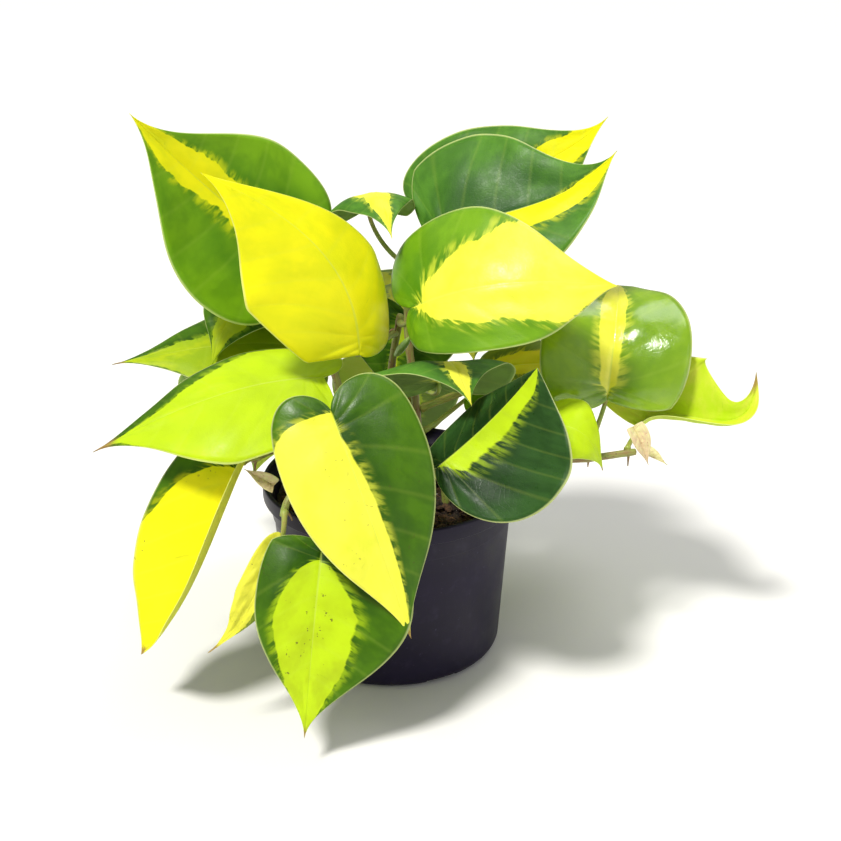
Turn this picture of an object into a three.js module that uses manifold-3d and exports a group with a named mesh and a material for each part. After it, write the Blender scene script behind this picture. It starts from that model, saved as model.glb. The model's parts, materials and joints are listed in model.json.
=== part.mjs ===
// Potted heart-leaf philodendron with variegated leaves, in a plastic nursery pot.
// Millimetres, +Z up, -Y towards the front, +X to the right.
// The origin is the middle of the pot's underside, on the plane that the pot stands on.

import * as THREE from 'three';
import { mergeVertices } from 'three/addons/utils/BufferGeometryUtils.js';
import Module from 'manifold-3d';

const wasm = await Module();
wasm.setup();

// ---------------------------------------------------------------- driving dimensions

const GAP = 0.3;                  // clearance between pieces that touch

const POT = {
  height: 80,
  rimRadius: 57,                  // outside of the lip
  lipHeight: 7,
  wallTopRadius: 53,              // outside of the wall, under the lip
  baseRadius: 48,                 // outside of the wall, at the foot
  wall: 1.2,
  edge: 0.8,                      // round on the lip's corners
  lipFilletRise: 1,               // the inside of the lip meets the wall this far above its underside
  floorFillet: 3,                 // chamfer between the floor and the inside of the wall
  floorInset: 1.5,                // the wall's inside draws in by this much above the chamfer
  ledgeDrop: 9,                   // from the lip's underside down to the stacking ledge
  ledgeStep: 0.7,                 // the wall above the ledge stands out by this much
  cornerRadius: 5,                // round between the wall and the foot
  footRise: 3,                    // the base plate stands this far off the ground
  footWidth: 3,                   // width of the ring that the pot stands on
  padRadius: 9,                   // moulding pad in the middle of the base
  notchCount: 6,
  notchWidth: 15,
  notchHeight: 2.4,
  notchShift: 2,                  // the notch's middle stands this far outside the foot ring
  notchAngle: -62,                // degrees from +X to the first notch
  drainCount: 6,
  drainRadius: 4,
  drainSides: 12,
  drainCircle: 27,                // radius of the circle that the drain holes stand on
};

const SOIL = {
  depthBelowRim: 10,
};

const STEM = {
  radius: 2.1,
  tipShare: 0.7,                  // radius at the growing end, as a share of the radius
  sides: 7,
  step: 6,                        // length of one straight run of the model
};

const PETIOLE = {
  radius: 1.15,
  sides: 5,
  steps: 6,
  tipShare: 0.8,                  // radius under the blade, as a share of the radius
  standOff: 1.5,                  // it starts this many gaps off its stem
  seat: 2.5,                      // it ends this far along the midrib
  leave: 0.25,                    // length of its first handle, as a share of its reach
  lean: 0.1,                      // how much of that handle runs along the stem
  arrive: 0.35,                   // length of its last handle
  arriveBack: 0.75,               // the last handle's share back along the midrib
  arriveUnder: 0.65,              // and its share down from the blade
};

const BLADE = {
  thickness: 0.9,
  rows: 12,                       // strips from the base to the tip
  columns: 2,                     // strips from the midrib to a margin
  sinus: 0.16,                    // depth of the basal lobes, as a share of the midrib
  shoulder: 0.4,                  // share of the outline's run that lies before the widest part
  notch: 0.14,                    // how wide the lobes already are at the bottom of the notch
  lobe: -0.24,                    // depth that the lobes' outer handle reaches
  drawIn: 0.74,                   // where the outline starts to draw in towards the tip
  veinRoots: 0.1,                 // share of the midrib that feeds the lobes' veins
  veinSweep: 1.3,                 // how strongly the side veins sweep towards the tip
  full: [0.56, 0.56],             // usual shoulder of each half, as a share of the midrib
  belly: [0.22, 0.22],            // usual place of the widest part
  samples: 64,                    // frames along the midrib
};

const SHEATH_ROWS = 6;

const POT_SEGMENTS = 36;

// The plant is set out on a pot of these sizes, and fitToPot carries it to the sizes above.
const REFERENCE = { rimRadius: 57, height: 80, soilTop: 70 };

// ---------------------------------------------------------------- the plant's layout
// Stems: points from the soil to the growing end.

const STEMS = {
  stem_right: [[24, -8, 70], [24, -9, 82], [34, -17, 94], [56, -22, 98], [80, -21, 97], [104, -18, 99]],
  stem_front: [
    [-12, -24, 70], [-12, -25, 82], [-22, -40, 96], [-34, -54, 100], [-40, -61, 97], [-42, -64, 91],
  ],
  stem_left: [[-22, 0, 70], [-22, -1, 82], [-32, -12, 98], [-44, -28, 106], [-56, -42, 106]],
  stem_centre: [
    [4, -12, 70], [4, -12, 82], [2, -5, 98], [0, 4, 112], [0, 10, 126], [2, 10, 140], [4, 6, 152],
  ],
  stem_back_left: [
    [-16, 14, 70], [-16, 14, 82], [-22, 16, 108], [-28, 17, 132], [-34, 18, 152], [-38, 19, 166],
  ],
  stem_back_right: [
    [12, 18, 70], [12, 18, 82], [10, 23, 110], [7, 28, 136], [7, 30, 156], [8, 32, 170],
  ],
  stem_back: [[8, 34, 70], [8, 35, 82], [8, 48, 94], [4, 60, 98]],
  stem_back_low: [[-22, 24, 70], [-22, 25, 82], [-32, 36, 92], [-42, 46, 94]],
};

// Leaves. base and tip are the ends of the midrib. face is the way the upper face looks, as
// degrees round from the front and degrees up. half is the width from the midrib to the left
// and right margins, seen from above with the tip away from the eye. rise lifts the midrib's
// middle off its chord and sway bends it sideways. fold turns a half up about the midrib, and
// curl rolls its margin further. belly and full place the widest part and the shoulder towards
// the tip, ears scales the basal lobes, and drip is the width of the drawn-out tip.

const LEAVES = {
  leaf_left_top: {
    stem: 'stem_back_left', at: 0.98,
    base: [-46, 15, 178], tip: [-102, -8, 240], face: [5, 40], half: [46, 38],
    rise: [-4, -6], fold: [18, 16], curl: [-10, -30], drip: 0.05, full: [0.60, 0.50],
  },
  leaf_yellow: {
    stem: 'stem_centre', at: 0.9,
    base: [-12, -30, 147], tip: [-70, -42, 224], face: [10, 35], half: [37, 32],
    rise: [10, 6], sway: [23, 14], fold: [-5, -14], curl: [-15, -40], drip: 0.14,
    full: [0.66, 0.34], belly: [0.5, 0.26], ears: [0, 0.3],
  },
  leaf_centre_back: {
    stem: 'stem_back_right', at: 0.97,
    base: [-11, 42, 190], tip: [1, -4, 188], face: [0, 75], half: [20, 22],
    rise: [18, 14], fold: [-8, -4], curl: [-30, -30], drip: 0.05, ears: [0.3, 1],
  },
  leaf_mid_right: {
    stem: 'stem_centre', at: 0.97,
    base: [9, -18, 163], tip: [91, -30, 176], face: [0, 45], half: [41, 26],
    rise: [18, 14], fold: [5, -10], curl: [-20, -10], drip: 0.15, droop: -3,
    full: [0.56, 0.8], belly: [0.22, 0.42], ears: [1.35, 0.7],
  },
  leaf_right_upper: {
    stem: 'stem_back_right', at: 0.84,
    base: [17, 20, 182], tip: [93, 8, 222], face: [-5, 48], half: [41, 34],
    rise: [4, -14], sway: [2, 8], fold: [10, 5], curl: [-10, -10], drip: 0.03,
    full: [0.56, 0.72], belly: [0.3, 0.3], ears: [0.4, 1],
  },
  leaf_right_top: {
    stem: 'stem_back_right', at: 0.92,
    base: [18, 48, 187], tip: [92, 34, 231], face: [-5, 40], half: [30, 30],
    rise: [4, -10], sway: [2, 6], fold: [5, 5], curl: [-10, -10], drip: 0.05,
    full: [0.58, 0.66],
  },
  leaf_right_glossy: {
    stem: 'stem_right', at: 0.8,
    base: [92, -8, 119], tip: [101, 40, 155], face: [0, 60], half: [31, 33],
    rise: [22, 20], fold: [12, 12], curl: [-10, -10], drip: 0.1, droop: -4,
    full: [0.5, 0.8], belly: [0.3, 0.3], ears: [0.8, 0.3],
  },
  leaf_right_curled: {
    stem: 'stem_right', at: 0.97,
    base: [107, -2, 104], tip: [157, 2, 128], face: [0, 45], half: [26, 14],
    rise: [6, 0], sway: [-10, 40], fold: [28, 40], curl: [0, 60], drip: 0.12,
    full: [0.32, 0.6], belly: [0.4, 0.4], ears: [0.2, 0.7],
  },
  leaf_right_lime: {
    stem: 'stem_right', at: 0.52,
    base: [57, -25, 112], tip: [88, -35, 98], face: [10, 60], half: [21, 21],
    rise: [20, 22], curl: [-20, -20], drip: 0.05,
  },
  leaf_front_folded: {
    stem: 'stem_right', at: 0.22,
    base: [19, -52, 107], tip: [58.5, -48, 148], face: [-20, 40], half: [20, 44],
    rise: [-6, -6], fold: [-37, 0], curl: [0, 10], drip: 0.6, full: [0.5, 0.84],
    belly: [0.45, 0.48],
  },
  leaf_front_low: {
    stem: 'stem_back_right', at: 0.42,
    base: [20, -2, 123], tip: [33, -46, 131], face: [0, 75], half: [32, 39],
    rise: [18, 20], fold: [-5, 10], curl: [-20, -20], drip: 0.05,
  },
  leaf_front_trailing: {
    stem: 'stem_front', at: 0.6,
    base: [-22, -64, 137], tip: [9, -92, 52], face: [10, 15], half: [31, 27],
    rise: [12, 6], fold: [8, 8], curl: [-20, -20], drip: 0.12, full: [0.62, 0.62],
    ears: [0.8, 0.8],
  },
  leaf_left_lime: {
    stem: 'stem_left', at: 0.55,
    base: [-27, -29, 137], tip: [-119, -48, 112], face: [-5, 55], half: [33, 25],
    rise: [18, 10], fold: [5, -10], curl: [-10, -20], drip: 0.05,
    full: [0.62, 0.56], belly: [0.42, 0.22], ears: [0.1, 1],
  },
  leaf_left_green: {
    stem: 'stem_back_left', at: 0.55,
    base: [-40, 12, 136], tip: [-118, -6, 134], face: [-5, 60], half: [32, 28],
    rise: [10, 4], fold: [5, -5], curl: [-10, -20], drip: 0.03, full: [0.50, 0.50],
  },
  leaf_left_small: {
    stem: 'stem_back_left', at: 0.76,
    base: [-54, 26, 150], tip: [-75, -12, 135], face: [-20, 60], half: [26, 22],
    rise: [18, 18], curl: [-20, -20], drip: 0.05,
  },
  leaf_right_under: {
    stem: 'stem_back_right', at: 0.32,
    base: [42, 22, 120], tip: [92, 4, 126], face: [5, 68], half: [20, 16],
    rise: [8, 6], fold: [5, 5], curl: [-15, -15], drip: 0.05,
  },
  leaf_left_hanging: {
    stem: 'stem_left', at: 0.97,
    base: [-58, -50, 110], tip: [-104, -60, 25], face: [-25, 10], half: [18, 32],
    rise: [8, 4], sway: [-6, -12], fold: [70, 5], curl: [10, -10], drip: 0.3,
    full: [0.80, 0.80], belly: [0.40, 0.40],
  },
  leaf_small_hanging: {
    stem: 'stem_front', at: 0.97,
    base: [-43, -71, 82], tip: [-72, -85, 41], face: [-30, 10], half: [7, 8],
    rise: [6, -6], sway: [-4, -5], fold: [-10, 20], drip: 0.1, belly: [0.4, 0.4],
  },
  leaf_bottom_trailing: {
    stem: 'stem_front', at: 0.72,
    base: [-26, -74, 84], tip: [-33, -104, 14], face: [0, 20], half: [38, 24],
    rise: [10, 2], fold: [5, 5], curl: [-10, -10], drip: 0.05,
    full: [0.62, 0.62], belly: [0.30, 0.30], ears: [1, 0.3],
  },
  leaf_back_upper_left: {
    stem: 'stem_back_left', at: 0.88,
    base: [-18, 50, 156], tip: [-50, 104, 98], face: [200, 38], half: [36, 36],
    rise: [10, 6], fold: [8, 8], curl: [-15, -15], drip: 0.08,
  },
  leaf_back_upper_right: {
    stem: 'stem_back_right', at: 0.70,
    base: [28, 54, 150], tip: [40, 112, 92], face: [172, 36], half: [36, 38],
    rise: [10, 6], fold: [5, 5], curl: [-15, -15], drip: 0.08,
  },
  leaf_back_left: {
    stem: 'stem_back_low', at: 0.70,
    base: [-58, 42, 116], tip: [-108, 84, 80], face: [218, 50], half: [30, 30],
    rise: [10, 4], fold: [8, 8], curl: [-15, -15], drip: 0.08,
  },
  leaf_back_right: {
    stem: 'stem_back', at: 0.60,
    base: [62, 44, 122], tip: [106, 88, 84], face: [142, 50], half: [30, 30],
    rise: [10, 4], fold: [8, 8], curl: [-15, -15], drip: 0.08,
  },
  leaf_back_trailing: {
    stem: 'stem_back', at: 0.96,
    base: [2, 72, 104], tip: [-4, 112, 24], face: [180, 18], half: [32, 32],
    rise: [10, 4], fold: [8, 8], curl: [-15, -15], drip: 0.08,
  },
  leaf_back_low: {
    stem: 'stem_back_low', at: 0.96,
    base: [-44, 58, 86], tip: [-74, 94, 36], face: [212, 22], half: [24, 24],
    rise: [8, 4], fold: [8, 8], curl: [-15, -15], drip: 0.08,
  },
  leaf_middle_back: {
    stem: 'stem_back_right', at: 0.6,
    base: [6, 44, 140], tip: [-4, 38, 103], face: [0, 20], half: [26, 26],
    rise: [5, 3], fold: [6, 6], curl: [-12, -12], drip: 0.06,
  },
  leaf_right_inner: {
    stem: 'stem_back_right', at: 0.22,
    base: [42, 30, 112], tip: [86, 26, 90], face: [20, 50], half: [22, 22],
    rise: [8, 4], fold: [6, 6], curl: [-12, -12], drip: 0.06,
  },
};

// Sheaths: the papery bracts that a leaf leaves behind on its stem, set out like leaves.

const SHEATHS = {
  sheath_left: {
    base: [-46, -58, 102], tip: [-57, -60, 110], face: [-20, 40], half: [4, 4],
    rise: [1, 1], fold: [35, 35], drip: 0.1, ears: [0.1, 0.1],
  },
  sheath_right_upper: {
    base: [100, -31, 116], tip: [107, -34, 100], face: [20, 20], half: [5, 5],
    rise: [2, 1], fold: [30, 30], drip: 0.1, ears: [0.1, 0.1],
  },
  sheath_right_end: {
    base: [106, -20, 101], tip: [117, -23, 95], face: [20, 50], half: [3, 3],
    rise: [1, 1], fold: [30, 30], drip: 0.1, ears: [0.1, 0.1],
  },
};

// Shoots: young leaves still rolled up, each from beside its stem to its point.

const SHOOTS = {
  shoot_upper: { stem: 'stem_centre', at: 0.78, tip: [9, -6, 147], radius: 1.9 },
  shoot_front: { stem: 'stem_front', at: 0.42, tip: [-1, -42, 136], radius: 2 },
  shoot_front_small: { stem: 'stem_front', at: 0.36, tip: [6, -44, 124], radius: 1.5 },
};

// Radius and height along a shoot, as shares of its radius and its length.
const SHOOT_PROFILE = [[0, 0], [0.5, 0], [1, 0.3], [0.8, 0.7], [0, 1]];

// ---------------------------------------------------------------- helpers

const vec = (p) => new THREE.Vector3(...p);
const lerp = THREE.MathUtils.lerp;
const radians = THREE.MathUtils.degToRad;

function material(color, roughness) {
  return new THREE.MeshStandardMaterial({ color, roughness, metalness: 0 });
}

/** A closed geometry as a manifold solid. */
function toSolid(geometry) {
  const plain = geometry.clone();
  for (const name of Object.keys(plain.attributes)) {
    if (name !== 'position') plain.deleteAttribute(name);
  }
  const merged = mergeVertices(plain, 1e-4);
  const solid = new wasm.Manifold(new wasm.Mesh({
    numProp: 3,
    vertProperties: new Float32Array(merged.attributes.position.array),
    triVerts: new Uint32Array(merged.index.array),
  }));
  return solid;
}

/** A manifold solid back as a geometry. */
function toGeometry(solid) {
  const mesh = solid.getMesh();
  const geometry = new THREE.BufferGeometry();
  geometry.setAttribute('position', new THREE.BufferAttribute(new Float32Array(mesh.vertProperties), 3));
  geometry.setIndex(new THREE.BufferAttribute(new Uint32Array(mesh.triVerts), 1));
  geometry.computeVertexNormals();
  return geometry;
}

const soilTop = POT.height - SOIL.depthBelowRim;

/** Moves a point of the plant from the reference pot to the pot in force. */
function fitToPot(p) {
  const spread = POT.rimRadius / REFERENCE.rimRadius;
  let z;
  if (p.z <= REFERENCE.soilTop) z = p.z * soilTop / REFERENCE.soilTop;
  else if (p.z <= REFERENCE.height) {
    const share = (p.z - REFERENCE.soilTop) / (REFERENCE.height - REFERENCE.soilTop);
    z = lerp(soilTop, POT.height, share);
  } else z = p.z - REFERENCE.height + POT.height;
  return new THREE.Vector3(p.x * spread, p.y * spread, z);
}

/** Applies fitToPot to every vertex of a geometry. */
function fitted(geometry) {
  const position = geometry.attributes.position;
  const p = new THREE.Vector3();
  for (let i = 0; i < position.count; i++) {
    p.fromBufferAttribute(position, i);
    position.setXYZ(i, ...fitToPot(p));
  }
  return geometry;
}

/** A closed tube along a curve, its radius running from r0 to r1, with flat ends. */
function tube(curve, r0, r1, steps, sides) {
  const positions = [];
  const index = [];
  const points = curve.getSpacedPoints(steps);
  const normal = new THREE.Vector3(0.31, 0.87, 0.38);
  points.forEach((point, i) => {
    const tangent = curve.getTangentAt(i / steps);
    normal.addScaledVector(tangent, -normal.dot(tangent)).normalize();
    const side = new THREE.Vector3().crossVectors(tangent, normal);
    const r = lerp(r0, r1, i / steps);
    for (let k = 0; k < sides; k++) {
      const a = 2 * Math.PI * k / sides;
      const p = point.clone()
        .addScaledVector(normal, r * Math.cos(a)).addScaledVector(side, r * Math.sin(a));
      positions.push(p.x, p.y, p.z);
    }
  });
  for (let i = 0; i < steps; i++) {
    for (let k = 0; k < sides; k++) {
      const a = i * sides + k;
      const b = i * sides + (k + 1) % sides;
      index.push(a, b, b + sides, a, b + sides, a + sides);
    }
  }
  const last = steps * sides;
  for (let k = 1; k < sides - 1; k++) {
    index.push(0, k + 1, k);
    index.push(last, last + k, last + k + 1);
  }
  const geometry = new THREE.BufferGeometry();
  geometry.setAttribute('position', new THREE.Float32BufferAttribute(positions, 3));
  geometry.setIndex(index);
  return geometry;
}

// ---------------------------------------------------------------- pot and soil

/** Radius of the outside of the wall at height z, without the ledge. */
function wallRadius(z) {
  const lipUnder = POT.height - POT.lipHeight;
  return lerp(POT.baseRadius, POT.wallTopRadius, z / lipUnder);
}

/** Points on a quarter round from one end to the other, about a centre. */
function quarter(cx, cz, radius, from, to, steps = 4) {
  return Array.from({ length: steps + 1 }, (_, i) => {
    const a = radians(lerp(from, to, i / steps));
    return new THREE.Vector2(cx + radius * Math.cos(a), cz + radius * Math.sin(a));
  });
}

function potGeometry() {
  const point = (x, y) => new THREE.Vector2(x, y);
  const lipUnder = POT.height - POT.lipHeight;
  const ledge = lipUnder - POT.ledgeDrop;
  const floorTop = POT.footRise + POT.wall;
  const footOuter = POT.baseRadius - POT.cornerRadius;
  const footInner = footOuter - POT.footWidth;
  const round = POT.cornerRadius;
  const corner = quarter(wallRadius(round) - round, round, round, -90, 0);
  const profile = [
    point(0, 0),
    point(POT.padRadius, 0),
    point(POT.padRadius, POT.footRise),
    point(footInner, POT.footRise),
    point(footInner, 0),
    ...corner,
    point(wallRadius(ledge), ledge),
    point(wallRadius(ledge) + POT.ledgeStep, ledge),
    point(POT.wallTopRadius, lipUnder),
    ...quarter(POT.rimRadius - POT.edge, lipUnder + POT.edge, POT.edge, -90, 0, 2),
    ...quarter(POT.rimRadius - POT.edge, POT.height - POT.edge, POT.edge, 0, 90, 2),
    point(POT.rimRadius - POT.wall - POT.edge, POT.height),
    point(POT.wallTopRadius - POT.wall, lipUnder + POT.lipFilletRise),
    point(wallRadius(ledge) - POT.wall, ledge),
    point(wallRadius(floorTop) - POT.wall - POT.floorInset, floorTop + POT.floorFillet),
    point(wallRadius(floorTop) - POT.wall - POT.floorInset - POT.floorFillet, floorTop),
    point(0, floorTop),
  ];
  // The lathe turns about Y, so it is stood up to turn about Z.
  const body = new THREE.LatheGeometry(profile, POT_SEGMENTS);
  body.rotateX(Math.PI / 2);
  let solid = toSolid(body);
  for (let i = 0; i < POT.notchCount; i++) {
    const angle = radians(POT.notchAngle + 360 * i / POT.notchCount);
    const notchDepth = POT.footWidth + 2 * POT.cornerRadius;
    const notch = new THREE.BoxGeometry(notchDepth, POT.notchWidth, 2 * POT.notchHeight);
    notch.translate(footOuter + POT.notchShift, 0, 0);
    notch.rotateZ(angle);
    solid = solid.subtract(toSolid(notch));
  }
  for (let i = 0; i < POT.drainCount; i++) {
    const angle = 2 * Math.PI * i / POT.drainCount;
    const drain = new THREE.CylinderGeometry(POT.drainRadius, POT.drainRadius, 4 * floorTop, POT.drainSides);
    drain.rotateX(Math.PI / 2);
    drain.translate(POT.drainCircle * Math.cos(angle), POT.drainCircle * Math.sin(angle), 0);
    solid = solid.subtract(toSolid(drain));
  }
  return toGeometry(solid);
}

function soilGeometry() {
  const lipUnder = POT.height - POT.lipHeight;
  const ledge = lipUnder - POT.ledgeDrop;
  const floorTop = POT.footRise + POT.wall;
  const inside = (z) => wallRadius(z) - POT.wall - 2 * GAP;
  const profile = [
    new THREE.Vector2(0, floorTop + GAP),
    new THREE.Vector2(inside(floorTop) - POT.floorInset - POT.floorFillet - GAP, floorTop + GAP),
    new THREE.Vector2(inside(floorTop) - POT.floorInset, floorTop + POT.floorFillet + GAP),
    new THREE.Vector2(inside(Math.min(ledge, soilTop)), Math.min(ledge, soilTop)),
    new THREE.Vector2(inside(soilTop), soilTop),
    new THREE.Vector2(0, soilTop),
  ];
  const geometry = new THREE.LatheGeometry(profile, POT_SEGMENTS);
  geometry.rotateX(Math.PI / 2);
  return toGeometry(toSolid(geometry));
}

// ---------------------------------------------------------------- stems

const stemCurves = Object.fromEntries(Object.entries(STEMS).map(([name, points]) => {
  const lifted = points.map(vec);
  lifted[0].z += GAP;
  return [name, new THREE.CatmullRomCurve3(lifted, false, 'centripetal')];
}));

/** Radius of a stem at a share of its length. */
function stemRadius(share) {
  return STEM.radius * lerp(1, STEM.tipShare, share);
}

function stemGeometry(name) {
  const curve = stemCurves[name];
  const steps = Math.round(curve.getLength() / STEM.step);
  return tube(curve, STEM.radius, STEM.radius * STEM.tipShare, steps, STEM.sides);
}

// ---------------------------------------------------------------- leaves

/** The way an upper face looks: degrees round from the front, and degrees up. */
function facing([around, up]) {
  const a = radians(around);
  const e = radians(up);
  return new THREE.Vector3(Math.sin(a) * Math.cos(e), -Math.cos(a) * Math.cos(e), Math.sin(e));
}

/** Value of a cubic curve through four control numbers. */
function cubic(a, b, c, d, s) {
  const q = 1 - s;
  return q * q * q * a + 3 * q * q * s * b + 3 * q * s * s * c + s * s * s * d;
}

/**
 * Half of a heart-shaped outline: x as a share of the half width, y as a share of the midrib,
 * and rib, where the side vein that ends there leaves the midrib.
 */
function outline(t, { drip, full, belly, ears }) {
  if (t <= BLADE.shoulder) {
    const s = t / BLADE.shoulder;
    const lobe = BLADE.lobe + 0.6 * (belly - BLADE.belly[0]);
    const y = cubic(0, -BLADE.sinus, lobe, belly, s);
    return { x: cubic(0, BLADE.notch, 1, 1, s), y: y < 0 ? y * ears : y, rib: BLADE.veinRoots * s };
  }
  const s = (t - BLADE.shoulder) / (1 - BLADE.shoulder);
  const y = cubic(belly, full, BLADE.drawIn + 0.5 * (full - BLADE.full[0]), 1, s);
  return { x: cubic(1, 1, drip, 0, s), y, rib: lerp(BLADE.veinRoots, 1, s) };
}

/** The midrib of a leaf and the frames along it. */
function midrib(leaf) {
  const base = vec(leaf.base);
  const tip = vec(leaf.tip);
  const chord = tip.clone().sub(base);
  const along = chord.clone().normalize();
  const up = facing(leaf.face);
  up.addScaledVector(along, -up.dot(along)).normalize();
  const side = new THREE.Vector3().crossVectors(along, up);
  const rise = leaf.rise ?? [0, 0];
  const sway = leaf.sway ?? [0, 0];
  const inner = [0, 1].map((i) => base.clone()
    .addScaledVector(chord, (i + 1) / 3)
    .addScaledVector(up, rise[i])
    .addScaledVector(side, sway[i]));
  const curve = new THREE.CubicBezierCurve3(base, inner[0], inner[1], tip);
  const frames = [];
  // The normal is carried from the middle of the midrib to both ends without turning about it.
  const carry = (from, to, step) => {
    const normal = up.clone();
    for (let i = from; step > 0 ? i <= to : i >= to; i += step) {
      const share = i / BLADE.samples;
      const tangent = curve.getTangentAt(share);
      normal.addScaledVector(tangent, -normal.dot(tangent)).normalize();
      frames[i] = {
        point: curve.getPointAt(share),
        tangent,
        normal: normal.clone(),
        right: new THREE.Vector3().crossVectors(tangent, normal),
      };
    }
  };
  carry(BLADE.samples / 2, BLADE.samples, 1);
  carry(BLADE.samples / 2, 0, -1);
  return { frames, length: curve.getLength() };
}

/** Frame at a share of the midrib, between the two nearest samples. */
function frameAt(frames, share) {
  const place = THREE.MathUtils.clamp(share, 0, 1) * (frames.length - 1);
  const i = Math.min(Math.floor(place), frames.length - 2);
  const blend = (key) => frames[i][key].clone().lerp(frames[i + 1][key], place - i);
  return {
    point: blend('point'), tangent: blend('tangent').normalize(), normal: blend('normal').normalize(),
    right: blend('right').normalize() };
}

/** Point of the blade's middle surface at t along the outline and v from -1 (left) to 1 (right). */
function bladePoint(leaf, rib, t, v) {
  const hand = v > 0 ? 1 : 0;
  const out = Math.abs(v);
  const edge = outline(t, {
    drip: leaf.drip,
    full: (leaf.full ?? BLADE.full)[hand],
    belly: (leaf.belly ?? BLADE.belly)[hand],
    ears: (leaf.ears ?? [1, 1])[hand],
  });
  const fold = radians((leaf.fold ?? [0, 0])[hand]);
  const curl = radians((leaf.curl ?? [0, 0])[hand]);
  const x = edge.x * out;
  const y = edge.rib + (edge.y - edge.rib) * out ** BLADE.veinSweep;
  const bend = curl * x / 2;
  const chordShare = Math.abs(bend) < 1e-6 ? 1 : Math.sin(bend) / bend;
  const reach = leaf.half[hand] * x * chordShare;
  const frame = frameAt(rib.frames, y);
  const point = frame.point;
  let lift = reach * Math.sin(fold + bend);
  if (y < 0) {
    point.addScaledVector(rib.frames[0].tangent, y * rib.length);
    lift += (leaf.droop ?? 0) * (y / BLADE.sinus) ** 2;
  }
  point.addScaledVector(frame.right, (hand ? 1 : -1) * reach * Math.cos(fold + bend));
  return point.addScaledVector(frame.normal, lift);
}

/** A closed thin blade: two skins that meet at the margin, the base and the tip. */
function bladeGeometry(leaf, rib, rows, columns, thickness) {
  const width = 2 * columns + 1;
  const middle = [];
  for (let i = 0; i <= rows; i++) {
    for (let j = 0; j < width; j++) middle.push(bladePoint(leaf, rib, i / rows, j / columns - 1));
  }
  const at = (i, j) => middle[i * width + j];
  const positions = [];
  const skin = { 1: [], [-1]: [] };
  const push = (p) => positions.push(p.x, p.y, p.z) / 3 - 1;
  const baseId = push(at(0, columns));
  const tipId = push(at(rows, columns));
  for (let i = 0; i <= rows; i++) {
    for (let j = 0; j < width; j++) {
      const cell = i * width + j;
      if (i === 0 || i === rows) {
        skin[1][cell] = skin[-1][cell] = i === 0 ? baseId : tipId;
      } else if (j === 0 || j === width - 1) {
        skin[1][cell] = skin[-1][cell] = push(at(i, j));
      } else {
        const down = at(i + 1, j).clone().sub(at(i - 1, j));
        const across = at(i, j + 1).clone().sub(at(i, j - 1));
        const normal = down.cross(across).normalize().multiplyScalar(thickness / 2);
        // down x across points to the underside, because across runs to the right
        skin[-1][cell] = push(at(i, j).clone().add(normal));
        skin[1][cell] = push(at(i, j).clone().sub(normal));
      }
    }
  }
  const index = [];
  const triangle = (a, b, c) => {
    if (a !== b && b !== c && c !== a) index.push(a, b, c);
  };
  for (let i = 0; i < rows; i++) {
    for (let j = 0; j < width - 1; j++) {
      for (const face of [1, -1]) {
        const ids = skin[face];
        const [a, b] = [ids[i * width + j], ids[i * width + j + 1]];
        const [d, c] = [ids[(i + 1) * width + j], ids[(i + 1) * width + j + 1]];
        if (face === 1) {
          triangle(a, b, c);
          triangle(a, c, d);
        } else {
          triangle(a, c, b);
          triangle(a, d, c);
        }
      }
    }
  }
  const geometry = new THREE.BufferGeometry();
  geometry.setAttribute('position', new THREE.Float32BufferAttribute(positions, 3));
  geometry.setIndex(index);
  return geometry;
}

/** The leaf stalk, from beside its stem to just under the blade's base. */
function petioleCurve(leaf, rib) {
  const curve = stemCurves[leaf.stem];
  const node = curve.getPointAt(leaf.at);
  const stemWay = curve.getTangentAt(leaf.at);
  const root = rib.frames[0];
  const end = root.point.clone().addScaledVector(root.tangent, PETIOLE.seat);
  const out = end.clone().sub(node);
  const reach = out.length();
  out.addScaledVector(stemWay, -out.dot(stemWay)).normalize();
  const start = node.clone().addScaledVector(out, stemRadius(leaf.at) + PETIOLE.standOff * GAP);
  const arrive = root.tangent.clone().multiplyScalar(-PETIOLE.arriveBack)
    .addScaledVector(root.normal, -PETIOLE.arriveUnder);
  return new THREE.CubicBezierCurve3(
    start,
    start.clone().addScaledVector(out, PETIOLE.leave * reach).addScaledVector(stemWay, PETIOLE.lean * reach),
    end.clone().addScaledVector(arrive, PETIOLE.arrive * reach),
    end,
  );
}

function leafGeometry(leaf) {
  const rib = midrib(leaf);
  const blade = toSolid(bladeGeometry(leaf, rib, BLADE.rows, BLADE.columns, BLADE.thickness));
  const thin = PETIOLE.radius * PETIOLE.tipShare;
  const stalk = tube(petioleCurve(leaf, rib), PETIOLE.radius, thin, PETIOLE.steps, PETIOLE.sides);
  return toGeometry(blade.add(toSolid(stalk)));
}

function sheathGeometry(sheath) {
  return bladeGeometry(sheath, midrib(sheath), SHEATH_ROWS, BLADE.columns, BLADE.thickness);
}

/** A rolled young leaf: a spindle that swells a third of the way up and ends in a point. */
function shootGeometry(shoot) {
  const node = stemCurves[shoot.stem].getPointAt(shoot.at);
  const stemWay = stemCurves[shoot.stem].getTangentAt(shoot.at);
  const tip = vec(shoot.tip);
  const out = tip.clone().sub(node);
  out.addScaledVector(stemWay, -out.dot(stemWay)).normalize();
  const start = node.addScaledVector(out, stemRadius(shoot.at) + GAP + 0.5 * shoot.radius);
  const way = tip.sub(start);
  const length = way.length();
  const profile = SHOOT_PROFILE
    .map(([r, y]) => new THREE.Vector2(r * shoot.radius, y * length));
  const geometry = new THREE.LatheGeometry(profile, STEM.sides);
  const turn = new THREE.Quaternion().setFromUnitVectors(new THREE.Vector3(0, 1, 0), way.normalize());
  geometry.applyQuaternion(turn);
  geometry.translate(...start);
  return toGeometry(toSolid(geometry));
}

// ---------------------------------------------------------------- assembly

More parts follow.
